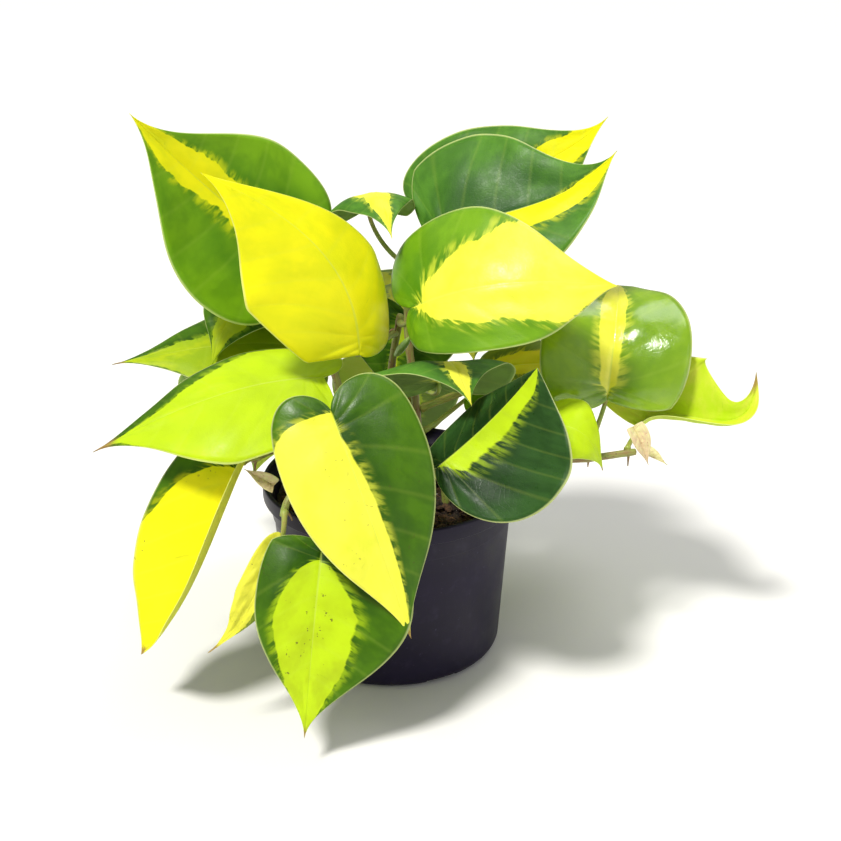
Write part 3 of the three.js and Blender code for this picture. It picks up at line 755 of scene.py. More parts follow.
@dataclass
class NurseryPot:
    """The pot: a tapered wall with a lip and a stacking ledge, on a notched foot ring."""

    height: float = 80.0
    rim_radius: float = 57.0
    lip_height: float = 7.0
    wall_top_radius: float = 53.0
    base_radius: float = 48.0
    wall: float = 1.2
    ledge_drop: float = 9.0
    ledge_step: float = 0.7
    corner_radius: float = 5.0
    foot_rise: float = 3.0
    foot_width: float = 3.0
    pad_radius: float = 9.0
    notch_count: int = 6
    notch_width: float = 15.0
    notch_height: float = 2.4
    notch_angle: float = -62.0
    drain_count: int = 6
    drain_radius: float = 4.0
    drain_circle: float = 27.0
    lip_edge: float = 0.8
    segments: int = 180
    hole_segments: int = 40
    sharp_angle: float = 38.0
    plastic: MouldedPolypropylene = field(default_factory=MouldedPolypropylene)

    def wall_radius(self, z: float) -> float:
        """Radius of the wall's outside at a height."""
        share = z / (self.height - self.lip_height)
        return self.base_radius + (self.wall_top_radius - self.base_radius) * share

    def profile(self) -> list[tuple[float, float]]:
        """The pot's section, from the axis underneath round to the axis on the floor inside."""
        lip_under = self.height - self.lip_height
        ledge = lip_under - self.ledge_drop
        floor_top = self.foot_rise + self.wall
        foot_outer = self.base_radius - self.corner_radius
        foot_inner = foot_outer - self.foot_width
        edge = self.lip_edge
        corner_centre = self.wall_radius(self.corner_radius) - self.corner_radius
        inner_edge = self.rim_radius - 1.6 * self.wall
        return [
            (0, 0), (self.pad_radius - 0.4, 0), (self.pad_radius, 0.4),
            (self.pad_radius, self.foot_rise), (foot_inner, self.foot_rise),
            (foot_inner, 0.3), (foot_inner + 0.3, 0),
            *arc(corner_centre, self.corner_radius, self.corner_radius, -90, 0, 10),
            *[(self.wall_radius(z), z) for z in np.linspace(self.corner_radius + 4, ledge - 0.3, 8)],
            (self.wall_radius(ledge) + 0.1, ledge),
            (self.wall_radius(ledge) + self.ledge_step - 0.15, ledge + 0.1),
            (self.wall_radius(ledge) + self.ledge_step, ledge + 0.4),
            (self.wall_top_radius + 0.2, lip_under - 0.6), (self.wall_top_radius + 0.5, lip_under),
            *arc(self.rim_radius - edge, lip_under + edge, edge, -90, 0, 4),
            *arc(self.rim_radius - edge, self.height - edge, edge, 0, 90, 5),
            *arc(inner_edge + 0.5, self.height - 0.5, 0.5, 90, 180, 3),
            (inner_edge - 0.6, lip_under + 3), (self.wall_top_radius - self.wall + 0.3, lip_under + 0.8),
            (self.wall_top_radius - self.wall, lip_under),
            *[(self.wall_radius(z) - self.wall, z) for z in np.linspace(ledge, floor_top + 6, 6)],
            *arc(self.wall_radius(floor_top) - self.wall - 4.5, floor_top + 4.5, 4.3, 0, -90, 5),
            (0, floor_top),
        ]

    def cutter(self) -> bpy.types.Object:
        """The foot's notches and the drain holes as one object to cut away."""
        cut = bmesh.new()
        foot = self.base_radius - self.corner_radius + 2
        depth = (self.foot_width + 2 * self.corner_radius) * MM
        for i in range(self.notch_count):
            angle = math.radians(self.notch_angle + 360 * i / self.notch_count)
            made = bmesh.ops.create_cube(cut, size=1.0)["verts"]
            bmesh.ops.scale(cut, vec=(depth, self.notch_width * MM, 2 * self.notch_height * MM), verts=made)
            bmesh.ops.translate(cut, vec=(foot * MM, 0, 0), verts=made)
            for v in made:
                x, y = v.co.x, v.co.y
                v.co.x = x * math.cos(angle) - y * math.sin(angle)
                v.co.y = x * math.sin(angle) + y * math.cos(angle)
        for i in range(self.drain_count):
            angle = 2 * math.pi * i / self.drain_count
            made = bmesh.ops.create_cone(
                cut, cap_ends=True, segments=self.hole_segments, radius1=self.drain_radius * MM,
                radius2=self.drain_radius * MM, depth=20 * MM)["verts"]
            place = (self.drain_circle * MM * math.cos(angle), self.drain_circle * MM * math.sin(angle), 0)
            bmesh.ops.translate(cut, vec=place, verts=made)
        mesh = bpy.data.meshes.new("pot_cutter")
        cut.to_mesh(mesh)
        cut.free()
        made = bpy.data.objects.new("pot_cutter", mesh)
        bpy.context.scene.collection.objects.link(made)
        return made

    def build(self) -> None:
        """Makes the pot and hands it to the frame."""
        points, faces = lathe(self.profile(), self.segments)
        shell = mesh_object("pot_blank", points, faces, self.plastic.material())
        cutter = self.cutter()
        modifier = shell.modifiers.new("openings", "BOOLEAN")
        modifier.object = cutter
        modifier.operation = "DIFFERENCE"
        modifier.solver = "EXACT"
        pot = converted(shell, "pot_moulding")
        bpy.data.objects.remove(cutter)
        for polygon in pot.data.polygons:
            polygon.use_smooth = True
        pot.data.set_sharp_from_angle(angle=math.radians(self.sharp_angle))
        settle(pot, "pot", "pot")


def converted(source: bpy.types.Object, name: str) -> bpy.types.Object:
    """Turns what an object's modifiers make into a plain mesh object, and removes the source.

    Args:
        source: The object with live modifiers.
        name: The new piece's name.

    Returns:
        The plain object, with no modifiers.
    """
    bpy.context.view_layer.update()
    graph = bpy.context.evaluated_depsgraph_get()
    mesh = bpy.data.meshes.new_from_object(source.evaluated_get(graph))
    mesh.name = name
    made = bpy.data.objects.new(name, mesh)
    bpy.context.scene.collection.objects.link(made)
    bpy.data.objects.remove(source)
    return made


# ------------------------------------------------------------------ the potting mix


class Scatter:
    """A Geometry Nodes tree that strews loose lumps over a surface."""

    def __init__(self, name: str) -> None:
        """Starts a tree with its named inputs.

        Args:
            name: The tree's name.
        """
        self.tree = bpy.data.node_groups.new(name, "GeometryNodeTree")
        face = self.tree.interface
        face.new_socket("Geometry", in_out="OUTPUT", socket_type="NodeSocketGeometry")
        self.ids = {}
        kinds = {
            "Geometry": "NodeSocketGeometry", "Density": "NodeSocketFloat", "Smallest": "NodeSocketFloat",
            "Largest": "NodeSocketFloat", "Shape": "NodeSocketVector", "Roughness": "NodeSocketFloat",
            "Seed": "NodeSocketInt", "Material": "NodeSocketMaterial",
        }
        for label, kind in kinds.items():
            self.ids[label] = face.new_socket(label, in_out="INPUT", socket_type=kind).identifier
        self.start = self.tree.nodes.new("NodeGroupInput").outputs

    def lumps(self) -> "Scatter":
        """Fills the tree: points on the surface, a lump on each, turned, sized and roughened."""
        tree, start = self.tree, self.start
        points = add(tree, "GeometryNodeDistributePointsOnFaces", {
            "Mesh": start["Geometry"], "Density": start["Density"], "Seed": start["Seed"]})
        lump = add(tree, "GeometryNodeMeshIcoSphere", {"Radius": 0.5, "Subdivisions": 2})
        size = add(tree, "FunctionNodeRandomValue", {
            2: start["Smallest"], 3: start["Largest"], "Seed": start["Seed"]}, data_type="FLOAT")
        scale = add(tree, "ShaderNodeVectorMath", {0: start["Shape"], "Scale": size.outputs[1]},
                    operation="SCALE")
        turn = add(tree, "FunctionNodeRandomValue", {
            0: (-0.5, -0.5, 0.0), 1: (0.5, 0.5, 2 * math.pi), "Seed": start["Seed"],
        }, data_type="FLOAT_VECTOR")
        placed = add(tree, "GeometryNodeInstanceOnPoints", {
            "Points": points.outputs[0], "Instance": lump.outputs[0], "Rotation": turn.outputs[0],
            "Scale": scale.outputs[0]})
        real = add(tree, "GeometryNodeRealizeInstances", {0: placed.outputs[0]})
        noise = add(tree, "ShaderNodeTexNoise", {"Scale": 1 / (2.2 * MM), "Detail": 2.0})
        centred = add(tree, "ShaderNodeVectorMath", {0: noise.outputs["Color"], 1: (0.5, 0.5, 0.5)},
                      operation="SUBTRACT")
        push = add(tree, "ShaderNodeVectorMath", {0: centred.outputs[0], "Scale": start["Roughness"]},
                   operation="SCALE")
        rough = add(tree, "GeometryNodeSetPosition", {"Geometry": real.outputs[0], "Offset": push.outputs[0]})
        dressed = add(tree, "GeometryNodeSetMaterial", {0: rough.outputs[0], "Material": start["Material"]})
        add(tree, "NodeGroupOutput", {0: dressed.outputs[0]})
        return self

    def strew(self, surface_object: bpy.types.Object, name: str, **sizes) -> bpy.types.Object:
        """Runs the tree over a surface.

        Args:
            surface_object: The object whose faces are strewn.
            name: The new piece's name.
            sizes: Values of the tree's named inputs.

        Returns:
            The loose matter as a plain mesh, without the surface.
        """
        ground = surface_object.copy()
        ground.data = surface_object.data.copy()
        bpy.context.scene.collection.objects.link(ground)
        modifier = ground.modifiers.new(name, "NODES")
        modifier.node_group = self.tree
        for label, value in sizes.items():
            modifier[self.ids[label]] = value
        return converted(ground, name)


@dataclass(frozen=True)
class LooseKind:
    """One kind of loose lump on the bed.

    density is lumps to the square metre. smallest, largest and roughness are in millimetres, and
    shape is a lump's length, width and thickness as shares of its size.
    """

    matter: LooseMatter
    density: float
    smallest: float
    largest: float
    shape: tuple
    roughness: float


LOOSE_KINDS = {
    "soil_bark": LooseKind(
        LooseMatter("composted_bark", "#5B3F2A", "#2A1B11", 1.1), 95000, 1.6, 4.6, (1.3, 0.8, 0.42), 1.5,
    ),
    "soil_crumbs": LooseKind(
        LooseMatter("peat_crumb", "#33241A", "#140E09", 0.8), 260000, 0.8, 2.2, (1, 0.9, 0.7), 0.9,
    ),
    "soil_perlite": LooseKind(
        LooseMatter("perlite", "#E4E0D6", "#B9B2A4", 0.7), 9000, 1.2, 2.8, (1, 0.95, 0.85), 0.9,
    ),
    "soil_fibres": LooseKind(
        LooseMatter("coir_fibre", "#8A6A45", "#5A412A", 0.9), 26000, 3.0, 9.0, (1.0, 0.055, 0.055), 1.6,
    ),
}


@dataclass
class PottingMix:
    """Peat and bark soil: a lumpy bed with loose bark, perlite and fibres on it."""

    rings: int = 44
    segments: int = 150
    relief: float = 2.4
    gap: float = 0.6
    lump_widths: tuple = (31, 19, 11, 7, 5, 3.6, 2.7)
    waves_each: int = 5
    edge_fade: float = 3
    crust_share: float = 0.95
    crust_depth: float = 3
    seed: int = 11

    def height_at(self, x: np.ndarray, y: np.ndarray) -> np.ndarray:
        """Lumps of the bed's top, as a sum of waves, in millimetres."""
        rough = np.random.default_rng(self.seed)
        height = np.zeros_like(x)
        for size in self.lump_widths:
            for _ in range(self.waves_each):
                angle, phase = rough.uniform(0, 2 * np.pi, 2)
                height += 0.035 * size**0.8 * np.sin(
                    (x * math.cos(angle) + y * math.sin(angle)) * 2 * np.pi / size + phase)
        return np.clip(height, -1, 1) * self.relief

    def bed(self, pot: NurseryPot, top: float) -> tuple[bpy.types.Object, float]:
        """Makes the bed of peat.

        Args:
            pot: The pot that it fills.
            top: Height of the soil's top.

        Returns:
            The bed, and the radius of its top.
        """
        floor = pot.foot_rise + pot.wall + self.gap / 2
        wall = [(pot.wall_radius(z) - pot.wall - self.gap, z) for z in np.linspace(floor + 5, top - 1, 6)]
        radius = wall[-1][0]
        share = np.linspace(1, 0, self.rings + 1)[:-1]
        profile = [(0, floor), (wall[0][0] - 5, floor), *wall, *[(radius * s, top) for s in share], (0, top)]
        points, faces = lathe(profile, self.segments)
        on_top = points[:, 2] > top - 0.1
        x, y = points[on_top, 0], points[on_top, 1]
        fade = np.clip((radius - np.hypot(x, y)) / self.edge_fade, 0.25, 1)
        points[on_top, 2] += self.height_at(x, y) * fade
        peat = LooseMatter("sphagnum_peat", "#3B2B20", "#17100B", 1.4)
        return mesh_object("soil_bed", points, faces, peat.material()), radius

    def crust(self, bed: bpy.types.Object, radius: float, top: float) -> bpy.types.Object:
        """Copies the top of the bed, inside its edge, for loose matter to be strewn on.

        Args:
            bed: The bed.
            radius: Radius of its top.
            top: Height of its top.

        Returns:
            The copy, an open sheet.
        """
        crust = bed.copy()
        crust.data = bed.data.copy()
        bpy.context.scene.collection.objects.link(crust)
        work = bmesh.new()
        work.from_mesh(crust.data)
        keep = radius * self.crust_share * MM
        under = (top - self.crust_depth) * MM
        out = [f for f in work.faces
               if f.calc_center_median().z < under or f.calc_center_median().xy.length > keep]
        bmesh.ops.delete(work, geom=out, context="FACES")
        work.to_mesh(crust.data)
        work.free()
        return crust

    def build(self, pot: NurseryPot, top: float) -> None:
        """Makes the bed and what lies on it.

        Args:
            pot: The pot that it fills.
            top: Height of the soil's top.
        """
        bed, radius = self.bed(pot, top)
        crust = self.crust(bed, radius, top)
        loose = Scatter("loose_lumps").lumps()
        for number, (name, kind) in enumerate(LOOSE_KINDS.items()):
            piece = loose.strew(
                crust, name, Density=float(kind.density), Smallest=kind.smallest * MM,
                Largest=kind.largest * MM, Shape=kind.shape, Roughness=kind.roughness * MM,
                Seed=self.seed + number, Material=kind.matter.material())
            for polygon in piece.data.polygons:
                polygon.use_smooth = name != "soil_bark"
            settle(piece, "soil", "soil")
        bpy.data.objects.remove(crust)
        settle(bed, "soil", "soil")


# ------------------------------------------------------------------ the plant's layout


@dataclass(frozen=True)
class PlantFit:
    """Carries the plant's layout from the pot that it was set out on to the pot in the frame."""

    spread: float
    height: float
    soil_top: float
    layout_height: float = 80.0
    layout_soil: float = 70.0

    @classmethod
    def from_frame(cls) -> "PlantFit":
        """Reads the pot's and the soil's sizes from the frame."""
        low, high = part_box("pot")
        return cls((high[0] - low[0]) / 2 / MM / 57.0, high[2] / MM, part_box("soil")[1][2] / MM)

    def carry(self, points: np.ndarray) -> np.ndarray:
        """Moves points of the layout to the pot in force.

        Args:
            points: Points in millimetres.

        Returns:
            The moved points.
        """
        z = points[:, 2]
        between = self.soil_top + (z - self.layout_soil) * (self.height - self.soil_top) / (
            self.layout_height - self.layout_soil)
        carried = np.where(z <= self.layout_soil, z * self.soil_top / self.layout_soil,
                           np.where(z <= self.layout_height, between, z - self.layout_height + self.height))
        return np.stack([points[:, 0] * self.spread, points[:, 1] * self.spread, carried], 1)


@dataclass(frozen=True)
class StemPlan:
    """One stem: its points from the soil to its growing end, in millimetres."""

    points: tuple
    radius: float = 2.1
    tip_share: float = 0.7
    gap: float = 0.3
    span_steps: int = 40

    def curve(self, count: int = 160) -> np.ndarray:
        """Evenly spaced points on a centripetal curve through the stem's points."""
        p = np.asarray(self.points, float)
        p[0, 2] += self.gap
        p = np.concatenate([[2 * p[0] - p[1]], p, [2 * p[-1] - p[-2]]])
        run = []
        for i in range(len(p) - 3):
            a, b, c, d = p[i : i + 4]
            ab, bc, cd = (np.linalg.norm(q) ** 0.5 for q in (b - a, c - b, d - c))
            leave = ((b - a) / ab - (c - a) / (ab + bc) + (c - b) / bc) * bc
            arrive = ((c - b) / bc - (d - b) / (bc + cd) + (d - c) / cd) * bc
            span = [b, b + leave / 3, c - arrive / 3, c]
            run.append(bezier(span, np.linspace(0, 1, self.span_steps)))
        return evenly(np.concatenate(run), count)[0]

    def node(self, at: float) -> tuple[np.ndarray, np.ndarray, float]:
        """The place, direction and radius of the stem at a share of its length."""
        curve = self.curve()
        i = at * (len(curve) - 1)
        low = min(int(i), len(curve) - 2)
        point = curve[low] + (curve[low + 1] - curve[low]) * (i - low)
        return point, unit(curve[low + 1] - curve[low]), self.radius * (1 + (self.tip_share - 1) * at)


@dataclass(frozen=True)
class LeafPlan:
    """One leaf's place and shape. Pairs are for its left and right halves, in that order.

    at is the share of the stem's length that the stalk leaves it at. base and tip are the
    midrib's ends. face is the way the upper face looks, in degrees round from the front and up.
    half is each half's width. rise lifts the midrib off its chord and sway bends it sideways, at
    a third and at two thirds of it. fold turns a half up about the midrib and curl rolls its
    margin. belly and full place the widest part and the shoulder, ears scales the lobes, droop
    lifts them, and drip is the width of the drawn-out tip. wave ruffles the margin.
    """

    stem: str | None
    at: float
    base: tuple
    tip: tuple
    face: tuple
    half: tuple
    rise: tuple = (0, 0)
    sway: tuple = (0, 0)
    fold: tuple = (0, 0)
    curl: tuple = (0, 0)
    drip: float = 0.1
    droop: float = 0
    full: tuple = (0.56, 0.56)
    belly: tuple = (0.22, 0.22)
    ears: tuple = (1, 1)
    wave: float = 1.0
    look: LeafLook = LeafLook()


STEMS = {
    "stem_right": StemPlan((
        (24, -8, 70), (24, -9, 82), (34, -17, 94), (56, -22, 98), (80, -21, 97), (104, -18, 99),
    )),
    "stem_front": StemPlan((
        (-12, -24, 70), (-12, -25, 82), (-22, -40, 96), (-34, -54, 100), (-40, -61, 97),
        (-42, -64, 91),
    )),
    "stem_left": StemPlan((
        (-22, 0, 70), (-22, -1, 82), (-32, -12, 98), (-44, -28, 106), (-56, -42, 106),
    )),
    "stem_centre": StemPlan((
        (4, -12, 70), (4, -12, 82), (2, -5, 98), (0, 4, 112), (0, 10, 126), (2, 10, 140), (4, 6, 152),
    )),
    "stem_back_left": StemPlan((
        (-16, 14, 70), (-16, 14, 82), (-22, 16, 108), (-28, 17, 132), (-34, 18, 152), (-38, 19, 166),
    )),
    "stem_back_right": StemPlan((
        (12, 18, 70), (12, 18, 82), (10, 23, 110), (7, 28, 136), (7, 30, 156), (8, 32, 170),
    )),
    "stem_back": StemPlan((
        (8, 34, 70), (8, 35, 82), (8, 48, 94), (4, 60, 98),
    )),
    "stem_back_low": StemPlan((
        (-22, 24, 70), (-22, 25, 82), (-32, 36, 92), (-42, 46, 94),
    )),
}

LEAVES = {
    "leaf_left_top": LeafPlan(
        "stem_back_left", 0.98, (-46, 15, 178), (-102, -8, 240), (5, 40), (46, 38), rise=(-4, -6),
        fold=(18, 16), curl=(-10, -30), drip=0.05, full=(0.6, 0.5),
        look=LeafLook((0.0, 0.0, 0.1, 0.42, 1.4), (0.0, 0.0, 0.2, 0.55, 1.5), Yellow.SUN, Green.FRESH),
    ),
    "leaf_yellow": LeafPlan(
        "stem_centre", 0.9, (-12, -30, 147), (-70, -42, 224), (10, 35), (37, 32), rise=(10, 6),
        sway=(23, 14), fold=(-5, -14), curl=(-15, -40), drip=0.14, full=(0.66, 0.34),
        belly=(0.5, 0.26), ears=(0, 0.3),
        look=LeafLook((1.3, 1.3, 1.3, 1.3, 1.3), (1.3, 1.25, 1.08, 1.05, 1.3), Yellow.SUN, Green.FRESH),
    ),
    "leaf_centre_back": LeafPlan(
        "stem_back_right", 0.97, (-11, 42, 190), (1, -4, 188), (0, 75), (20, 22), rise=(18, 14),
        fold=(-8, -4), curl=(-30, -30), drip=0.05, ears=(0.3, 1),
        look=LeafLook((0.25, 0.3, 0.35, 0.5, 1.0), (0.2, 0.3, 0.4, 0.5, 1.0), Yellow.PALE, Green.GREY),
    ),
    "leaf_mid_right": LeafPlan(
        "stem_centre", 0.97, (9, -18, 163), (91, -30, 176), (0, 45), (41, 26), rise=(18, 14),
        fold=(5, -10), curl=(-20, -10), drip=0.15, droop=-3, full=(0.56, 0.8), belly=(0.22, 0.42),
        ears=(1.35, 0.7),
        look=LeafLook(
            (-0.1, 0.05, 0.5, 1.15, 1.3), (0.0, 0.2, 0.6, 1.05, 1.3), Yellow.PALE, Green.FRESH,
            feather=0.14, roughness=0.34, gloss=0.35,
        ),
    ),
    "leaf_right_upper": LeafPlan(
        "stem_back_right", 0.84, (17, 20, 182), (93, 8, 222), (-5, 48), (41, 34), rise=(4, -14),
        sway=(2, 8), fold=(10, 5), curl=(-10, -10), drip=0.03, full=(0.56, 0.72), belly=(0.3, 0.3),
        ears=(0.4, 1),
        look=LeafLook(
            (-0.3, -0.3, -0.3, -0.06, 0.9), (-0.2, 0.0, 0.26, 0.66, 1.2), Yellow.SUN, Green.GREY,
            feather=0.04, roughness=0.36,
        ),
    ),
    "leaf_right_top": LeafPlan(
        "stem_back_right", 0.92, (18, 48, 187), (92, 34, 231), (-5, 40), (30, 30), rise=(4, -10),
        sway=(2, 6), fold=(5, 5), curl=(-10, -10), drip=0.05, full=(0.58, 0.66),
        look=LeafLook((-0.5, -0.4, -0.2, 0.6, 1.6), (-0.5, -0.4, -0.2, 0.6, 1.6), Yellow.SUN, Green.GREY),
    ),
    "leaf_right_glossy": LeafPlan(
        "stem_right", 0.8, (92, -8, 119), (101, 40, 155), (0, 60), (31, 33), rise=(22, 20),
        fold=(12, 12), curl=(-10, -10), drip=0.1, droop=-4, full=(0.5, 0.8), belly=(0.3, 0.3),
        ears=(0.8, 0.3),
        look=LeafLook(
            (0.03, 0.06, 0.2, 0.5, 1.0), (0.03, 0.05, 0.12, 0.3, 0.8), Yellow.PALE, Green.BRIGHT,
            feather=0.03, roughness=0.19, gloss=1.0,
        ),
    ),
    "leaf_right_curled": LeafPlan(
        "stem_right", 0.97, (107, -2, 104), (157, 2, 128), (0, 45), (26, 14), rise=(6, 0),
        sway=(-10, 40), fold=(28, 40), curl=(0, 60), drip=0.12, full=(0.32, 0.6), belly=(0.4, 0.4),
        ears=(0.2, 0.7),
        look=LeafLook(
            (1.3, 1.3, 1.3, 1.3, 1.3), (1.2, 1.2, 1.2, 1.3, 1.3), Yellow.LIME, Green.FRESH,
            roughness=0.36, tip_dry=0.12, yellow_shade="#E2DE5C",
        ),
    ),
    "leaf_right_lime": LeafPlan(
        "stem_right", 0.52, (57, -25, 112), (88, -35, 98), (10, 60), (21, 21), rise=(20, 22),
        curl=(-20, -20), drip=0.05,
        look=LeafLook(
            (1.2, 1.2, 1.2, 1.2, 1.2), (1.2, 1.2, 1.2, 1.2, 1.2), Yellow.LIME, Green.FRESH,
            roughness=0.38, tip_dry=0.05, yellow_shade="#A8C41C",
        ),
    ),
    "leaf_front_folded": LeafPlan(
        "stem_right", 0.22, (19, -52, 107), (58.5, -48, 148), (-20, 40), (20, 44), rise=(-6, -6),
        fold=(-37, 0), curl=(0, 10), drip=0.6, full=(0.5, 0.84), belly=(0.45, 0.48),
        # Its green is the dark tone that also paints the shade this leaf lies in.
        look=LeafLook(
            (-0.3, -0.3, -0.2, -0.2, 0.1), (0.03, 0.12, 0.22, 0.27, 0.6), Yellow.LIME, Green.DARK_PAINTED_SHADE,
            feather=0.04, roughness=0.32, yellow_shade="#9DB81A",
        ),
    ),
    "leaf_front_low": LeafPlan(
        "stem_back_right", 0.42, (20, -2, 123), (33, -46, 131), (0, 75), (32, 39), rise=(18, 20),
        fold=(-5, 10), curl=(-20, -20), drip=0.05,
        look=LeafLook((0.0, 0.02, 0.08, 0.3, 1.0), (0.0, 0.02, 0.08, 0.3, 1.0), Yellow.PALE, Green.GREY),
    ),
    "leaf_front_trailing": LeafPlan(
        "stem_front", 0.6, (-22, -64, 137), (9, -92, 52), (10, 15), (31, 27), rise=(12, 6),
        fold=(8, 8), curl=(-20, -20), drip=0.12, full=(0.62, 0.62), ears=(0.8, 0.8),
        look=LeafLook(
            (-0.1, -0.1, 0.1, 0.34, 1.1), (0.0, 0.5, 1.3, 1.3, 1.3), Yellow.PALE, Green.DEEP,
            feather=0.03, roughness=0.34, tip_dry=0.05, grit=0.5, yellow_shade="#D6DE2E", gloss=0.3,
        ),
    ),
    "leaf_left_lime": LeafPlan(
        "stem_left", 0.55, (-27, -29, 137), (-119, -48, 112), (-5, 55), (33, 25), rise=(18, 10),
        fold=(5, -10), curl=(-10, -20), drip=0.05, full=(0.62, 0.56), belly=(0.42, 0.22),
        ears=(0.1, 1),
        # Painted shadow: the right half's yellow gives way to green towards the tip. This stands in for the
        # shadow that leaf_yellow casts there.
        look=LeafLook(
            (1.2, 1.3, 1.3, 1.1, -0.3), (1.2, 1.1, 0.85, 0.5, -0.3), Yellow.LIME, Green.DEEP,
            feather=0.08, roughness=0.38, tip_dry=0.10, yellow_shade="#A8C41C",
        ),
    ),
    "leaf_left_green": LeafPlan(
        "stem_back_left", 0.55, (-40, 12, 136), (-118, -6, 134), (-5, 60), (32, 28), rise=(10, 4),
        fold=(5, -5), curl=(-10, -20), drip=0.03, full=(0.5, 0.5),
        look=LeafLook(
            (0.8, 0.9, 1.0, 1.0, 0.6), (0.3, 0.4, 0.5, 0.4, 0.2), Yellow.MOSS, Green.DEEP,
            roughness=0.38, tip_dry=0.06,
        ),
    ),
    "leaf_left_small": LeafPlan(
        "stem_back_left", 0.76, (-54, 26, 150), (-75, -12, 135), (-20, 60), (26, 22), rise=(18, 18),
        curl=(-20, -20), drip=0.05,
        look=LeafLook((0.3, 0.4, 0.5, 0.7, 0.9), (0.3, 0.3, 0.4, 0.6, 0.9), Yellow.MOSS, Green.DEEP),
    ),
    "leaf_right_under": LeafPlan(
        "stem_back_right", 0.32, (42, 22, 120), (92, 4, 126), (5, 68), (20, 16), rise=(8, 6),
        fold=(5, 5), curl=(-15, -15), drip=0.05,
        look=LeafLook((0.3, 0.4, 0.5, 0.6, 0.6), (0.4, 0.4, 0.5, 0.6, 0.6), Yellow.GOLD, Green.OLIVE),
    ),
    "leaf_left_hanging": LeafPlan(
        "stem_left", 0.97, (-58, -50, 110), (-104, -60, 25), (-25, 10), (18, 32), rise=(8, 4),
        sway=(-6, -12), fold=(70, 5), curl=(10, -10), drip=0.3, full=(0.8, 0.8), belly=(0.4, 0.4),
        look=LeafLook(
            (1.2, 1.2, 1.2, 1.2, 1.2), (-0.3, 0.2, 1.15, 1.3, 1.3), Yellow.SUN, Green.DEEP,
            feather=0.05, tip_dry=0.05, grit=1.0,
        ),
    ),
    "leaf_small_hanging": LeafPlan(
        "stem_front", 0.97, (-43, -71, 82), (-72, -85, 41), (-30, 10), (7, 8), rise=(6, -6),
        sway=(-4, -5), fold=(-10, 20), drip=0.1, belly=(0.4, 0.4),
        look=LeafLook(
            (0.4, 0.5, 0.6, 0.9, 1.2), (1.1, 1.1, 1.1, 1.1, 1.1), Yellow.PALE, Green.OLIVE,
            roughness=0.42, tip_dry=0.09, grit=1.0, yellow_shade="#A9AE2E",
        ),
    ),
    "leaf_bottom_trailing": LeafPlan(
        "stem_front", 0.72, (-26, -74, 84), (-33, -104, 14), (0, 20), (38, 24), rise=(10, 2),
        fold=(5, 5), curl=(-10, -10), drip=0.05, full=(0.62, 0.62), belly=(0.3, 0.3), ears=(1, 0.3),
        look=LeafLook(
            (-0.5, -0.3, 0.42, 0.7, 1.3), (-0.5, -0.2, 0.68, 0.95, 1.3), Yellow.LIME, Green.DEEP,
            feather=0.06, tip_dry=0.05, grit=0.9, yellow_shade="#9FB01A",
        ),
    ),
    "leaf_back_upper_left": LeafPlan(
        "stem_back_left", 0.88, (-18, 50, 156), (-50, 104, 98), (200, 38), (36, 36), rise=(10, 6),
        fold=(8, 8), curl=(-15, -15), drip=0.08,
        look=LeafLook((0.1, 0.2, 0.4, 0.6, 1.0), (0.3, 0.5, 0.9, 1.2, 1.3), Yellow.SUN, Green.FRESH),
    ),
    "leaf_back_upper_right": LeafPlan(
        "stem_back_right", 0.7, (28, 54, 150), (40, 112, 92), (172, 36), (36, 38), rise=(10, 6),
        fold=(5, 5), curl=(-15, -15), drip=0.08,
        look=LeafLook((0.5, 0.8, 1.1, 1.3, 1.3), (0.0, 0.1, 0.15, 0.3, 0.8), Yellow.SUN, Green.DEEP),
    ),
    "leaf_back_left": LeafPlan(
        "stem_back_low", 0.7, (-58, 42, 116), (-108, 84, 80), (218, 50), (30, 30), rise=(10, 4),
        fold=(8, 8), curl=(-15, -15), drip=0.08,
        look=LeafLook((0.1, 0.2, 0.3, 0.5, 0.8), (0.0, 0.1, 0.3, 0.4, 0.6), Yellow.LIME, Green.FRESH),
    ),
    "leaf_back_right": LeafPlan(
        "stem_back", 0.6, (62, 44, 122), (106, 88, 84), (142, 50), (30, 30), rise=(10, 4), fold=(8, 8),
        curl=(-15, -15), drip=0.08,
        look=LeafLook((0.2, 0.4, 0.6, 0.8, 1.0), (0.0, 0.2, 0.3, 0.7, 1.0), Yellow.PALE, Green.GREY),
    ),
    "leaf_back_trailing": LeafPlan(
        "stem_back", 0.96, (2, 72, 104), (-4, 112, 24), (180, 18), (32, 32), rise=(10, 4), fold=(8, 8),
        curl=(-15, -15), drip=0.08,
        look=LeafLook((1.2, 1.2, 1.2, 1.3, 1.3), (0.1, 0.2, 0.4, 0.6, 1.0), Yellow.LIME, Green.DEEP),
    ),
    "leaf_back_low": LeafPlan(
        "stem_back_low", 0.96, (-44, 58, 86), (-74, 94, 36), (212, 22), (24, 24), rise=(8, 4),
        fold=(8, 8), curl=(-15, -15), drip=0.08,
        look=LeafLook((0.0, 0.1, 0.2, 0.3, 0.5), (0.3, 0.5, 0.8, 1.0, 1.2), Yellow.LIME, Green.FRESH),
    ),
    "leaf_middle_back": LeafPlan(
        "stem_back_right", 0.6, (6, 44, 140), (-4, 38, 103), (0, 20), (26, 26), rise=(5, 3),
        fold=(6, 6), curl=(-12, -12), drip=0.06,
        look=LeafLook((0.0, 0.1, 0.1, 0.2, 0.5), (0.0, 0.1, 0.1, 0.2, 0.5), Yellow.MOSS, Green.DEEP),
    ),
    "leaf_right_inner": LeafPlan(
        "stem_back_right", 0.22, (42, 30, 112), (86, 26, 90), (20, 50), (22, 22), rise=(8, 4),
        fold=(6, 6), curl=(-12, -12), drip=0.06,
        look=LeafLook((0.1, 0.3, 0.4, 0.6, 1.0), (0.0, 0.1, 0.2, 0.4, 0.8), Yellow.LIME, Green.FRESH),
    ),
}

